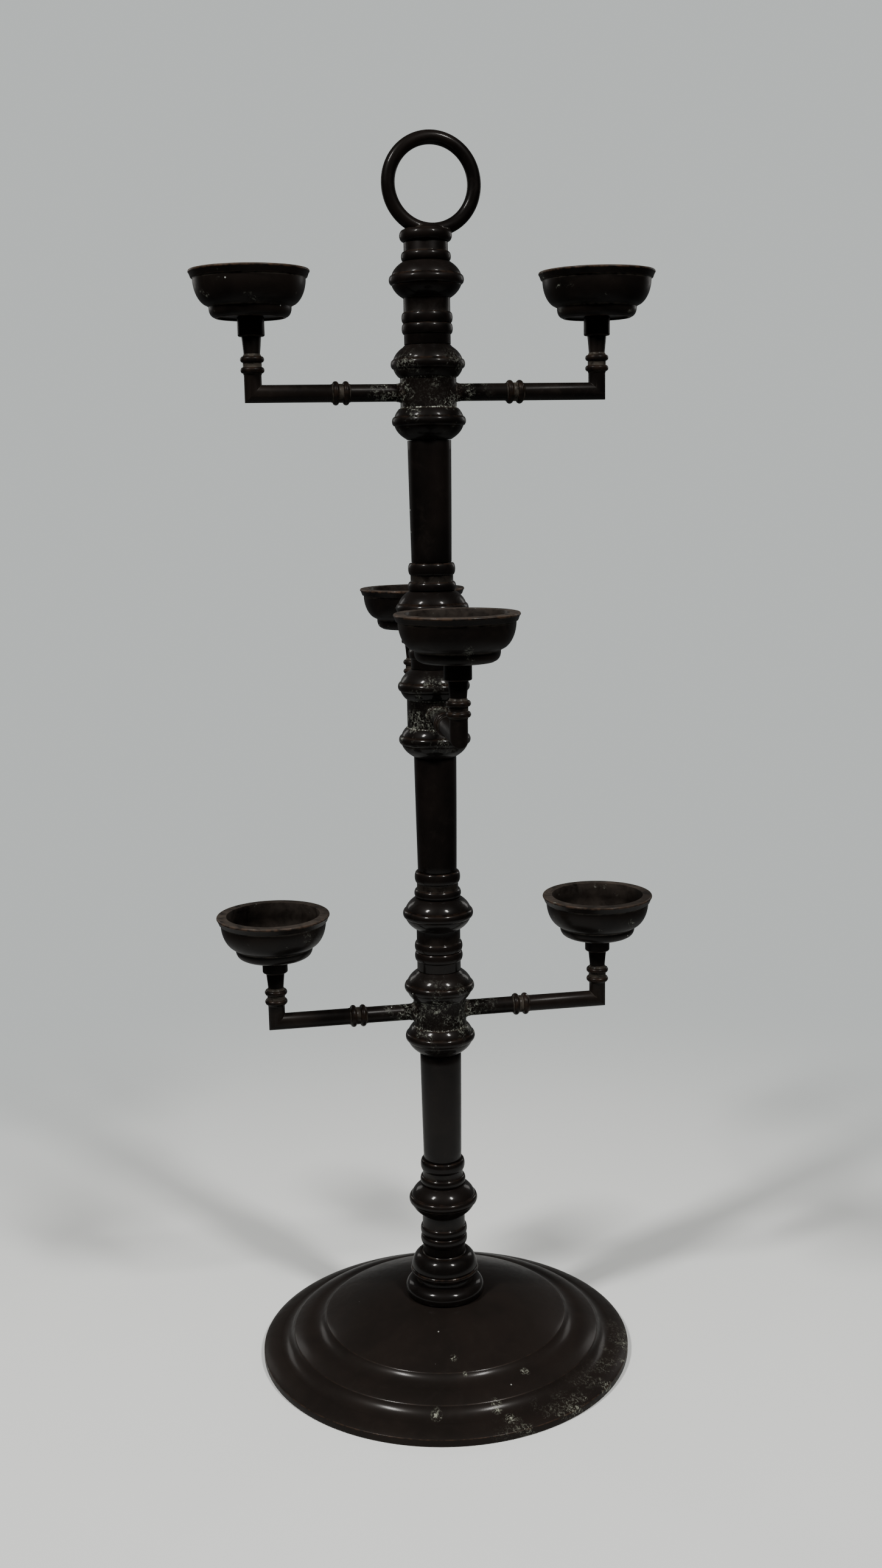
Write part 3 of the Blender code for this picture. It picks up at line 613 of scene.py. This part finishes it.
# %% Place the six sets
SCREW_ANGLES = (0.5, 1.9, 1.1, 2.6, 0.2, 1.4)      # radians, one for each cup
screw_turn = iter(SCREW_ANGLES)
for tier, sides in TIERS.items():
    for side in sides:
        angle, height = tier_place(tier, side)
        out = (REACH * cos(angle), REACH * sin(angle))
        body, label = tier + "_tier", f"{tier}_{side}"
        piece = settle(copy_piece(arm, f"bar_{label}"), angle, (0, 0, height))
        stand_for(piece, body, "arm_bronze", f"{tier}_arm_{side}", f"{tier}_riser_{side}")
        piece = settle(copy_piece(braze, f"braze_{label}"), angle, (0, 0, height))
        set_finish(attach(piece, body), "arm_bronze")
        piece = settle(copy_piece(collar, f"collar_{label}"), angle,
                       (*out, span(f"{tier}_collar_{side}")[0]))
        stand_for(piece, body, "arm_bronze", f"{tier}_collar_{side}")
        piece = settle(copy_piece(cup, f"cup_{label}"), angle, (*out, span(f"{tier}_cup_{side}")[1]))
        stand_for(piece, body, "cup_bronze", f"{tier}_cup_{side}")
        piece = settle(copy_piece(screw, f"screw_{label}"), next(screw_turn),
                       (*out, span(f"{tier}_cup_screw_{side}")[0]))
        stand_for(piece, body, "steel", f"{tier}_cup_screw_{side}")
for pattern in (arm, braze, collar, cup, screw):
    bpy.data.objects.remove(pattern)

# %% [markdown]
# ## Carrying ring
#
# The ring is a bent bar brazed onto a bead, a little off the column's axis. A torus is joined to
# the turned bead by a Boolean union, with a squashed sphere for the pool of braze at its foot. That
# leaves knife-sharp seams, so a voxel remesh rebuilds the skin in even small squares, and a Smooth
# modifier then melts the seams into the soft fillet that braze leaves there.

# %% Ring and bead in one
RING_R, RING_BAR_R, RING_TURN = 0.0257, 0.0041, radians(3.0)
FINIAL_SPIGOT, TOP_BEAD_H, TOP_BEAD_R, SPIGOT_R = 0.0120, 0.0069, 0.0155, 0.0105
BORE_TOP_DOWN = 0.0015     # the rod's hole stops this far under the bead
POOL_SIZE = (0.0105, 0.0064, 0.0034)   # half length along the ring, half width, half height
VOXEL, MELT, MELT_TIMES = 0.00038, 0.5, 6
finial_low = span("ring_finial")[0]
bead_z = finial_low + FINIAL_SPIGOT
finial_section = [(ROD_HOLE_R, finial_low), (SPIGOT_R, finial_low), (SPIGOT_R, bead_z)]
finial_section += bead(bead_z, bead_z + TOP_BEAD_H, CAP_NECK_R, TOP_BEAD_R)
finial_section += [(0.0, bead_z + TOP_BEAD_H), (0.0, bead_z - BORE_TOP_DOWN),
                   (ROD_HOLE_R, bead_z - BORE_TOP_DOWN)]
finial = turn("ring_and_bead", finial_section)
ring_low, ring_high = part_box("ring_finial")
ring_x = (ring_low.x + ring_high.x) / 2
ring_y = ring_x * sin(RING_TURN) / cos(RING_TURN)
ring_z = ring_high.z - RING_R - RING_BAR_R
ring = start(bpy.ops.mesh.primitive_torus_add, "ring_bar", major_radius=RING_R,
             minor_radius=RING_BAR_R, major_segments=144, minor_segments=32, location=(0, 0, 0))
object_mode()
ring.matrix_world = (Matrix.Translation((ring_x, ring_y, ring_z))
                     @ Matrix.Rotation(RING_TURN, 4, "Z") @ Matrix.Rotation(pi / 2, 4, "X"))
pool = start(bpy.ops.mesh.primitive_uv_sphere_add, "braze_pool", segments=48, ring_count=24,
             radius=1, location=(0, 0, 0))
bpy.ops.transform.resize(value=POOL_SIZE)
object_mode()
pool.matrix_world = (Matrix.Translation((ring_x / 2, ring_y / 2, bead_z + TOP_BEAD_H))
                     @ Matrix.Rotation(RING_TURN, 4, "Z"))
for lump in (ring, pool):
    pick(lump)
    bpy.ops.object.transform_apply(location=True, rotation=True, scale=True)
    modify(finial, "BOOLEAN", operation="UNION", object=lump, solver="EXACT")
    bpy.data.objects.remove(lump)
modify(finial, "REMESH", mode="VOXEL", voxel_size=VOXEL)
modify(finial, "SMOOTH", factor=MELT, iterations=MELT_TIMES)
mark_edges(settle(finial), fade=3)
stand_for(finial, "stand", "column_bronze", "ring_finial")

# %% [markdown]
# ## Rod, washer and nut
#
# Seen from below, the whole stack is drawn tight by a nut on the rod's end. The thread is a single
# tooth's edge run round the rod by a Screw modifier, then cut level and closed at both ends. It
# starts a broken number of turns below the rod, because a point of the mesh that lies exactly on a
# cut would leave an open seam. The nut is a six-sided cylinder whose corners are turned off by
# intersecting it with a chamfered disc.

# %% Rod with a real thread
rod_low, rod_high, rod_r = span("tie_rod")
nut_low, nut_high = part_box("clamp_nut")
PITCH, TOOTH = 0.00125, 0.00055
THREAD_UP = 0.004          # the plain rod begins this far above the nut's lower face
SHANK_DOWN, THREAD_DOWN = 0.002, 0.001     # how far the bar reaches down inside the thread
THREAD_LEAD = 1.2371       # turns of thread below the rod's end, cut away again
TOOTH_STEPS = ((0.15, 0.05), (0.85, 0.35), (0.0, 0.15), (-0.85, 0.35), (-0.15, 0.10))
thread_top = nut_low.z + THREAD_UP
root_r, bar_z = rod_r - TOOTH, thread_top - SHANK_DOWN
rod_section = [(0.0, bar_z), (root_r, bar_z), (root_r, thread_top),
               (rod_r, thread_top + TOOTH), (rod_r, rod_high), (0.0, rod_high)]
rod = soften(turn("tie_rod_bar", rod_section, BAR_FACETS), 0.0002)
thread = start(bpy.ops.mesh.primitive_plane_add, "thread", size=0.001,
               location=(root_r, 0, rod_low - THREAD_LEAD * PITCH))
bpy.ops.mesh.merge(type="CENTER")
for step in TOOTH_STEPS:
    bpy.ops.mesh.extrude_region_move(TRANSFORM_OT_translate={
        "value": (step[0] * TOOTH, 0, step[1] * PITCH), "orient_type": "GLOBAL"})
pick(thread)
bpy.ops.object.transform_apply(location=True, rotation=True, scale=True)
turns = int((thread_top - rod_low) / PITCH) + 3
modify(thread, "SCREW", angle=2 * pi, screw_offset=PITCH, iterations=turns, steps=BAR_FACETS,
       render_steps=BAR_FACETS, use_merge_vertices=True, merge_threshold=MERGE,
       use_normal_calculate=True)
bpy.ops.object.mode_set(mode="EDIT")
bpy.ops.mesh.select_all(action="SELECT")
bpy.ops.mesh.remove_doubles(threshold=2 * MERGE)
for cut_z, side in ((rod_low, -1), (thread_top - THREAD_DOWN, 1)):
    bpy.ops.mesh.select_all(action="SELECT")
    bpy.ops.mesh.bisect(plane_co=(0, 0, cut_z), plane_no=(0, 0, side), use_fill=False,
                        clear_outer=True)
    bpy.ops.mesh.fill_holes(sides=0)
bpy.ops.mesh.select_all(action="SELECT")
bpy.ops.mesh.normals_make_consistent(inside=False)
pick(rod, thread)
bpy.ops.object.join()
mark_edges(settle(rod))
stand_for(rod, "stand", "steel", "tie_rod")

# %% Nut and washer
NUT_FLATS = nut_high.y - nut_low.y
CHAMFER, AT_CORNER = 0.0012, 0.7       # its height, and the share of it reached at a corner
PAST_NUT = 0.001                       # the cutters reach this far past the nut
nut_h = nut_high.z - nut_low.z
corner_r = NUT_FLATS / sqrt(3)
nut = start(bpy.ops.mesh.primitive_cylinder_add, "hexagon_nut", vertices=6, radius=corner_r,
            depth=nut_h, location=(0, 0, nut_low.z + nut_h / 2), rotation=(0, 0, pi / 6))
object_mode()
disc = turn("corner_cutter", [
    (0.0, nut_low.z), (NUT_FLATS / 2, nut_low.z), (corner_r, nut_low.z + CHAMFER * AT_CORNER),
    (corner_r + PAST_NUT, nut_low.z + CHAMFER), (corner_r + PAST_NUT, nut_high.z - CHAMFER),
    (corner_r, nut_high.z - CHAMFER * AT_CORNER), (NUT_FLATS / 2, nut_high.z), (0.0, nut_high.z)])
modify(nut, "BOOLEAN", operation="INTERSECT", object=disc, solver="EXACT")
bore_low, bore_high = nut_low.z - PAST_NUT, nut_high.z + PAST_NUT
bore = turn("bore_cutter", [(0.0, bore_low), (ROD_HOLE_R, bore_low), (ROD_HOLE_R, bore_high),
                            (0.0, bore_high)], BAR_FACETS)
modify(nut, "BOOLEAN", operation="DIFFERENCE", object=bore, solver="EXACT")
for cutter in (disc, bore):
    bpy.data.objects.remove(cutter)
mark_edges(settle(soften(nut, 0.00018)))
stand_for(nut, "stand", "steel", "clamp_nut")
washer_low, washer_high, washer_r = span("clamp_washer")
washer = turn("round_washer", [(ROD_HOLE_R, washer_low), (washer_r, washer_low),
                               (washer_r, washer_high), (ROD_HOLE_R, washer_high)])
mark_edges(settle(soften(washer, 0.0004, 3)))
stand_for(washer, "stand", "steel", "clamp_washer")

# %% [markdown]
# ## Wiring a material
#
# Every finish below is a small graph of nodes. A few helpers keep the graphs readable: one adds a
# node and fills its inputs, one makes cloudy noise, one turns a value into a soft mask between two
# limits, and the others multiply masks and lay one colour or value over another. All patterns read
# Object coordinates, which are metres here, so a noise scale of 100 means blotches of about a
# centimetre.

# %% Node helpers
def wire(tree, kind, inputs=None, **settings):
    """Adds a node; an input is either another node's output or a plain value."""
    made = tree.nodes.new(kind)
    for key, value in settings.items():
        setattr(made, key, value)
    for key, value in (inputs or {}).items():
        if isinstance(value, bpy.types.NodeSocket):
            tree.links.new(value, made.inputs[key])
        else:
            made.inputs[key].default_value = value
    return made


def noise(tree, place, scale, detail=4.0, rough=0.55, warp=0.0):
    return wire(tree, "ShaderNodeTexNoise", {"Vector": place, "Scale": scale, "Detail": detail,
                                             "Roughness": rough, "Distortion": warp}).outputs["Fac"]


def mask(tree, value, start_at, full_at):
    """0 before one limit and 1 past the other, with a soft step between; either may be larger."""
    return wire(tree, "ShaderNodeMapRange", {"Value": value, "From Min": start_at,
                                             "From Max": full_at},
                interpolation_type="SMOOTHSTEP").outputs["Result"]


def calc(tree, operation, first, second=0.0):
    return wire(tree, "ShaderNodeMath", {0: first, 1: second}, operation=operation).outputs[0]


def both(tree, *masks):
    """Only where every one of the masks is; a plain number weakens the rest."""
    product = masks[0]
    for other in masks[1:]:
        product = calc(tree, "MULTIPLY", product, other)
    return product


def tint(tree, factor, under, over):
    """Lays one colour over another."""
    colours = [c if isinstance(c, bpy.types.NodeSocket) else (*c, 1.0) for c in (under, over)]
    return wire(tree, "ShaderNodeMix", {0: factor, 6: colours[0], 7: colours[1]},
                data_type="RGBA").outputs[2]


def level(tree, factor, under, over):
    return wire(tree, "ShaderNodeMix", {0: factor, 2: under, 3: over}, data_type="FLOAT").outputs[0]


# %% [markdown]
# ## Old dark bronze
#
# The patina is a thin dark oxide over brass, waxed by years of handling. It is built in layers, as
# it grew: two brown-blacks in large clouds, finer mottling, warm metal where edges are rubbed, dust
# in the grooves and a film of it on what faces up, pale salts where flux and damp have been at work,
# and a few stray specks. Each layer changes colour, roughness and metalness together, because that
# is what tells bare metal from dirt. The oxide itself hardly mirrors, so its specular level is very
# low, and the gloss is the wax: a weak clear coat, gone where dust or salts lie and thinner towards
# the top and on the rim's upright side, where no cloth has rubbed. Lathe lines and a fine grain go
# into the bump. Each finish passes its own mask for where the salts grow.

# %% The bronze graph
WARM_METAL = (0.075, 0.043, 0.026)
DUST = (0.085, 0.074, 0.060)
FILM = (0.044, 0.036, 0.030)
SPECK = (0.30, 0.31, 0.29)
SALTS = (0.20, 0.21, 0.18)
CLOUDS, BLOTCHES, RUBS, CRUMBS, GRAIN, SPECKS = 22, 140, 260, 620, 900, 160.0  # noise scales
DRY_TOP, DRY_RIM = (0.30, 0.62), (0.009, 0.006)     # heights where the wax starts to go and is least
DRY_LOSS = 0.7             # share of the wax that is missing there
PATINA_GLOSS, PATINA_ROUGH, MATT_ROUGH = 0.03, (0.40, 0.50), 0.85
OXIDE_METAL, RUBBED_METAL = 0.1, 0.85  # how metallic the oxide and the rubbed edges are


def bronze(name, dark, brown, shine, salts_where, rings="column", wax=0.3, dust=0.5, wear=0.6,
           settled=0.0, mottle=0.4, salts=SALTS):
    """dark and brown are the two patina colours, and shine is the roughness of the wax over them."""
    material = bpy.data.materials.new(name)
    material.use_nodes = True
    tree = material.node_tree
    shader = tree.nodes["Principled BSDF"]
    coordinates = wire(tree, "ShaderNodeTexCoord")
    place = coordinates.outputs["Object"]
    edge = wire(tree, "ShaderNodeAttribute", attribute_name="edge").outputs["Fac"]
    clouds_at = noise(tree, place, CLOUDS, 3, 0.6, 0.4)
    blotch = noise(tree, place, BLOTCHES, 5, 0.62, 0.6)
    grain = noise(tree, place, GRAIN, 3, 0.6)
    colour = tint(tree, mask(tree, clouds_at, 0.36, 0.66), dark, brown)
    colour = tint(tree, both(tree, mask(tree, blotch, 0.50, 0.76), mottle), colour,
                  tuple(1.6 * c for c in brown))
    rubbed = both(tree, mask(tree, edge, 0.30, 0.90),
                  mask(tree, noise(tree, place, RUBS, 4), 0.38, 0.62), wear)
    colour = tint(tree, rubbed, colour, WARM_METAL)
    dusty = both(tree, mask(tree, edge, -0.10, -0.55), mask(tree, blotch, 0.34, 0.6), dust)
    colour = tint(tree, dusty, colour, DUST)
    up = wire(tree, "ShaderNodeSeparateXYZ", {"Vector": coordinates.outputs["Normal"]})
    film = both(tree, mask(tree, up.outputs["Z"], 0.0, 0.5), mask(tree, blotch, 0.20, 0.65), settled)
    colour = tint(tree, film, colour, FILM)
    crumbs = noise(tree, place, CRUMBS, 6, 0.7, 0.8)
    salty = both(tree, salts_where(tree, place, edge), mask(tree, crumbs, 0.50, 0.60))
    specks = wire(tree, "ShaderNodeTexVoronoi", {"Vector": place, "Scale": SPECKS})
    chance = wire(tree, "ShaderNodeSeparateColor", {"Color": specks.outputs["Color"]}).outputs[0]
    speck = both(tree, mask(tree, specks.outputs["Distance"], 0.09, 0.05),
                 mask(tree, chance, 0.955, 0.965))
    pale = calc(tree, "MAXIMUM", salty, speck)
    colour = tint(tree, salty, colour, salts)
    colour = tint(tree, speck, colour, SPECK)
    tree.links.new(colour, shader.inputs["Base Color"])
    matt = calc(tree, "MAXIMUM", calc(tree, "MAXIMUM", dusty, film), pale)
    z = wire(tree, "ShaderNodeSeparateXYZ", {"Vector": place}).outputs["Z"]
    dry = calc(tree, "MAXIMUM", mask(tree, z, *DRY_TOP), mask(tree, z, *DRY_RIM))
    kept = calc(tree, "SUBTRACT", 1.0, calc(tree, "MAXIMUM", matt, both(tree, dry, DRY_LOSS)))
    tree.links.new(both(tree, kept, wax), shader.inputs["Coat Weight"])
    shader.inputs["Coat Roughness"].default_value = shine
    clean = level(tree, mask(tree, blotch, 0.3, 0.75), *PATINA_ROUGH)
    tree.links.new(level(tree, matt, clean, MATT_ROUGH), shader.inputs["Roughness"])
    metal = level(tree, rubbed, OXIDE_METAL, RUBBED_METAL)
    tree.links.new(level(tree, matt, metal, 0.0), shader.inputs["Metallic"])
    shader.inputs["Specular IOR Level"].default_value = PATINA_GLOSS
    tree.links.new(relief(tree, place, grain, pale, rings), shader.inputs["Normal"])
    return material


WAVES_DEEP, LINES_DEEP, GRAIN_DEEP, CRUST_DEEP = 0.00012, 0.000008, 0.000012, 0.00022
WAVES, LATHE_LINES, BUMP = 55, 1400, 0.5    # two noise scales and the strength of every bump


def relief(tree, place, grain, pale, rings):
    """Bump from lathe lines, a fine grain, slow hand-filed waves and the crust of salts."""
    parts = wire(tree, "ShaderNodeSeparateXYZ", {"Vector": place})
    if rings == "foot":
        flat = wire(tree, "ShaderNodeCombineXYZ", {"X": parts.outputs["X"], "Y": parts.outputs["Y"]})
        r = wire(tree, "ShaderNodeVectorMath", {0: flat.outputs[0]}, operation="LENGTH").outputs["Value"]
        along = wire(tree, "ShaderNodeCombineXYZ", {"X": r}).outputs[0]
    else:
        along = wire(tree, "ShaderNodeCombineXYZ", {"Z": parts.outputs["Z"]}).outputs[0]
    lines = noise(tree, along, LATHE_LINES, 2, 0.5)
    waves = noise(tree, place, WAVES, 2, 0.5)
    bump = None
    for height, depth in ((waves, WAVES_DEEP), (lines, LINES_DEEP), (grain, GRAIN_DEEP),
                          (pale, CRUST_DEEP)):
        settings = {"Height": height, "Strength": BUMP, "Distance": depth}
        if bump:
            settings["Normal"] = bump
        bump = wire(tree, "ShaderNodeBump", settings).outputs["Normal"]
    return bump


# %% [markdown]
# ## Where the salts grow
#
# Flux from brazing and damp leave crusts, and they keep to certain places: round each hub and the
# roots of its arms, along one side of the foot's rim where it stood wet, and hardly anywhere on the
# cups. Each mask below is plain geometry, such as the distance from a hub's middle, broken up by
# noise. It is worked out on each piece as made, so the crust goes round with a tier that is turned.
# All four masks take the same three arguments, so that any finish can be given any of them.

# %% Masks for the salts
hub_heights = [tier_place(tier, sides[0])[1] for tier, sides in TIERS.items()]
TIER_PITCH = hub_heights[1] - hub_heights[0]
BELOW_TIERS = hub_heights[0] - TIER_PITCH / 2
SALT_SIDE = radians(-43)   # direction from the column of the foot's crusted side
PATCHES = ((-0.024, -0.101, 0.0042), (-0.007, -0.068, 0.0030), (-0.002, -0.079, 0.0018),
           (0.013, -0.101, 0.0045), (0.036, -0.078, 0.0038), (0.020, -0.109, 0.0050))  # x, y, radius


def distance_out(tree, place):
    """The place without its height, and how far that is from the column's axis."""
    flat = wire(tree, "ShaderNodeVectorMath", {0: place, 1: (1, 1, 0)}, operation="MULTIPLY").outputs[0]
    return flat, wire(tree, "ShaderNodeVectorMath", {0: flat}, operation="LENGTH").outputs["Value"]


def hub_salts(tree, place, edge):
    """Strongest in the grooves of each hub, fading above and below it."""
    z = wire(tree, "ShaderNodeSeparateXYZ", {"Vector": place}).outputs["Z"]
    lifted = calc(tree, "SUBTRACT", z, BELOW_TIERS)
    from_hub = calc(tree, "SUBTRACT", calc(tree, "FLOORED_MODULO", lifted, TIER_PITCH), TIER_PITCH / 2)
    near = mask(tree, calc(tree, "ABSOLUTE", from_hub), 0.027, 0.012)
    started = mask(tree, z, BELOW_TIERS, BELOW_TIERS + 0.01)
    patches = mask(tree, noise(tree, place, 75, 3), 0.48, 0.66)
    groove = mask(tree, edge, -0.12, -0.5)
    grown = calc(tree, "MAXIMUM", both(tree, patches, 0.6), both(tree, groove, 0.8))
    return both(tree, near, started, grown)


def root_salts(tree, place, edge):
    """Only near the column, where the arm was brazed in."""
    near = mask(tree, distance_out(tree, place)[1], 0.040, 0.019)
    return both(tree, near, mask(tree, noise(tree, place, 110, 3), 0.38, 0.62))


def foot_salts(tree, place, edge):
    """A crusted stretch of the border and rim, and a few stray patches."""
    flat, r = distance_out(tree, place)
    outwards = wire(tree, "ShaderNodeVectorMath", {0: flat}, operation="NORMALIZE").outputs[0]
    facing = wire(tree, "ShaderNodeVectorMath", {0: outwards, 1: (cos(SALT_SIDE), sin(SALT_SIDE), 0)},
                  operation="DOT_PRODUCT").outputs["Value"]
    side = mask(tree, facing, 0.70, 0.97)
    broken = mask(tree, noise(tree, place, 85, 4), 0.44, 0.60)
    haze = both(tree, side, mask(tree, r, foot_r - 0.022, foot_r - 0.006), broken, 0.28)
    crust = both(tree, side, mask(tree, r, foot_r - 0.006, foot_r - 0.001), broken)
    grown = calc(tree, "MAXIMUM", haze, crust)
    for x, y, size in PATCHES:
        away = wire(tree, "ShaderNodeVectorMath", {0: flat, 1: (x, y, 0)}, operation="DISTANCE")
        grown = calc(tree, "MAXIMUM", grown, mask(tree, away.outputs["Value"], size, 0.3 * size))
    return grown


def few_salts(tree, place, edge):
    """A faint crumb here and there."""
    return both(tree, mask(tree, noise(tree, place, 90, 3), 0.64, 0.74), 0.5)


# %% [markdown]
# ## Four bronzes and a steel
#
# The column has been handled most: it is the darkest and glossiest. The foot is browner and
# satin, the arms are the dullest of the three, and the cups are dusty where they face up. The screws,
# rod, nut and washer are plain steel.

# %% Make the finishes
FOOT_SALTS = (0.16, 0.165, 0.135)
finishes = {
    "column_bronze": bronze("column_bronze", (0.0024, 0.0019, 0.0017), (0.0048, 0.0036, 0.0031),
                            0.12, hub_salts, wax=0.20, dust=0.12, wear=0.2),
    "foot_bronze": bronze("foot_bronze", (0.0072, 0.0057, 0.0049), (0.0094, 0.0071, 0.0060), 0.19,
                          foot_salts, rings="foot", wax=0.13, dust=0.2, wear=0.3, mottle=0.15,
                          salts=FOOT_SALTS),
    "arm_bronze": bronze("arm_bronze", (0.0032, 0.0026, 0.0023), (0.0070, 0.0053, 0.0044), 0.26,
                         root_salts, wax=0.07, dust=0.3, wear=0.15),
    "cup_bronze": bronze("cup_bronze", (0.0032, 0.0026, 0.0023), (0.0065, 0.0050, 0.0042), 0.22,
                         few_salts, wax=0.12, dust=0.4, wear=0.45, settled=0.65),
}


DULL_STEEL, CLEAN_STEEL = (0.17, 0.165, 0.155), (0.28, 0.275, 0.26)
RUST = (0.085, 0.038, 0.018)


def steel(name):
    """Plain steel gone dull, with rust starting in its grooves."""
    material = bpy.data.materials.new(name)
    material.use_nodes = True
    tree = material.node_tree
    shader = tree.nodes["Principled BSDF"]
    place = wire(tree, "ShaderNodeTexCoord").outputs["Object"]
    edge = wire(tree, "ShaderNodeAttribute", attribute_name="edge").outputs["Fac"]
    spots = noise(tree, place, 420, 5, 0.65, 0.5)
    grooves = both(tree, mask(tree, edge, -0.1, -0.6), 0.8)
    rust = calc(tree, "MAXIMUM", mask(tree, spots, 0.54, 0.70), grooves)
    colour = tint(tree, mask(tree, noise(tree, place, 90), 0.3, 0.7), DULL_STEEL, CLEAN_STEEL)
    tree.links.new(tint(tree, rust, colour, RUST), shader.inputs["Base Color"])
    tree.links.new(level(tree, rust, 0.38, 0.82), shader.inputs["Roughness"])
    tree.links.new(level(tree, rust, 1.0, 0.1), shader.inputs["Metallic"])
    bump = wire(tree, "ShaderNodeBump", {"Height": spots, "Strength": 0.4, "Distance": 0.00008})
    tree.links.new(bump.outputs["Normal"], shader.inputs["Normal"])
    return material


finishes["steel"] = steel("steel")
for piece in [o for o in bpy.context.scene.objects if o.type == "MESH" and "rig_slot" in o]:
    piece.data.materials.clear()
    piece.data.materials.append(finishes[piece["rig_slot"]])
print("finishes", sorted(finishes))

# %% [markdown]
# ## Floor, light and camera
#
# The stage is a broad pale floor under a pale sky, and the floor fades out so that no line shows
# where they meet. Two upright soft lights stand high in front, one on each side, and give every bead
# and knop its pair of small highlights. A far weaker, broader pair stands behind for the other side.
# The sky is pale to the eye but dim as a source of light, with one brighter stretch behind for a
# backdrop, so that dark metal stays dark instead of mirroring white from all sides.

# %% Floor
STAGE_R, FLOOR_FADES, FLOOR_GONE = 1.5, 0.25, 0.80
FLOOR_GAP = 0.0002         # a hair below the foot, so that the two never share a plane
FLOOR_DARK, FLOOR_LIGHT, FLOOR_ROUGH = (0.55, 0.565, 0.56), (0.58, 0.595, 0.59), 0.7
floor = start(bpy.ops.mesh.primitive_circle_add, "floor", vertices=64, radius=STAGE_R,
              fill_type="NGON", location=(0, 0, cad_box[0][2] - FLOOR_GAP))
object_mode()
paint = bpy.data.materials.new("floor_paint")
paint.use_nodes = True
tree = paint.node_tree
floor_place = wire(tree, "ShaderNodeTexCoord").outputs["Object"]
shader = tree.nodes["Principled BSDF"]
clouded = tint(tree, noise(tree, floor_place, 6, 3), FLOOR_DARK, FLOOR_LIGHT)
tree.links.new(clouded, shader.inputs["Base Color"])
shader.inputs["Roughness"].default_value = FLOOR_ROUGH
fade = mask(tree, distance_out(tree, floor_place)[1], FLOOR_FADES, FLOOR_GONE)
clear = wire(tree, "ShaderNodeBsdfTransparent").outputs[0]
faded = wire(tree, "ShaderNodeMixShader", {0: fade, 1: shader.outputs[0], 2: clear}).outputs[0]
tree.links.new(faded, tree.nodes["Material Output"].inputs["Surface"])
floor.data.materials.append(paint)
print("floor", STAGE_R, "in radius, fading from", FLOOR_FADES, "to", FLOOR_GONE)

# %% Sky
SKY_SEEN, SKY_DIM, SKY_BACKDROP = (0.60, 0.63, 0.62), (0.045, 0.045, 0.045), (0.16, 0.165, 0.165)
BACKDROP_AT = (0.17, 0.985, 0.0)       # direction of the backdrop's middle
BACKDROP_WIDE, BACKDROP_TALL = (0.35, 0.85), (0.55, 0.30)      # limits of its soft sides and top
world = bpy.data.worlds.new("pale_room")
bpy.context.scene.world = world
world.use_nodes = True
tree = world.node_tree
toward = wire(tree, "ShaderNodeTexCoord").outputs["Generated"]
facing = wire(tree, "ShaderNodeVectorMath", {0: toward, 1: BACKDROP_AT},
              operation="DOT_PRODUCT").outputs["Value"]
height = wire(tree, "ShaderNodeSeparateXYZ", {"Vector": toward}).outputs["Z"]
backdrop = both(tree, mask(tree, facing, *BACKDROP_WIDE), mask(tree, height, *BACKDROP_TALL))
sky_light = tint(tree, backdrop, SKY_DIM, SKY_BACKDROP)
seen = wire(tree, "ShaderNodeLightPath").outputs["Is Camera Ray"]
tree.links.new(tint(tree, seen, sky_light, SKY_SEEN), tree.nodes["Background"].inputs["Color"])
print("sky", SKY_SEEN, "to the eye and", SKY_DIM, "as light")

# %% Camera
CAMERA_AWAY, CAMERA_UP, LENS = 0.9968, 0.5672, 37.49
CAMERA_ROUND, CAMERA_DOWN, CAMERA_ROLL = radians(9.7), radians(10.79), radians(1.03)
AIM_ASIDE = radians(0.19)
bpy.ops.object.camera_add(location=(-CAMERA_AWAY * sin(CAMERA_ROUND),
                                    -CAMERA_AWAY * cos(CAMERA_ROUND), CAMERA_UP))
camera = bpy.context.object
pointing = (Matrix.Rotation(-CAMERA_ROUND - AIM_ASIDE, 3, "Z")
            @ Matrix.Rotation(pi / 2 - CAMERA_DOWN, 3, "X") @ Matrix.Rotation(-CAMERA_ROLL, 3, "Z"))
camera.rotation_euler = pointing.to_euler()
camera.data.lens = LENS
bpy.context.scene.camera = camera
print("camera", CAMERA_AWAY, "from the axis and", CAMERA_UP, "up, lens", LENS)

# %% Lights
TARGET = Vector((0, 0, 0.35))


def soft_light(name, round_deg, up_deg, away, wide, tall, power, colour=(1.0, 0.98, 0.95)):
    """A panel aimed at the column; round_deg turns from the camera's side, plus to the right."""
    turn_to = radians(round_deg - 90) - CAMERA_ROUND
    toward = Vector((cos(turn_to) * cos(radians(up_deg)), sin(turn_to) * cos(radians(up_deg)),
                     sin(radians(up_deg))))
    bpy.ops.object.light_add(type="AREA", location=TARGET + toward * away)
    lamp = bpy.context.object
    lamp.name = name
    lamp.rotation_euler = toward.to_track_quat("Z", "Y").to_euler()
    lamp.data.shape, lamp.data.size, lamp.data.size_y = "RECTANGLE", wide, tall
    lamp.data.energy, lamp.data.color = power, colour
    print(name, power, "watts")


soft_light("front_left", -50, 48, 2.6, 0.20, 0.50, 95)
soft_light("front_right", 41, 48, 2.6, 0.20, 0.50, 82)
soft_light("back_left", -140, 16, 2.6, 0.50, 0.90, 6)
soft_light("back_right", 140, 16, 2.6, 0.50, 0.90, 6)
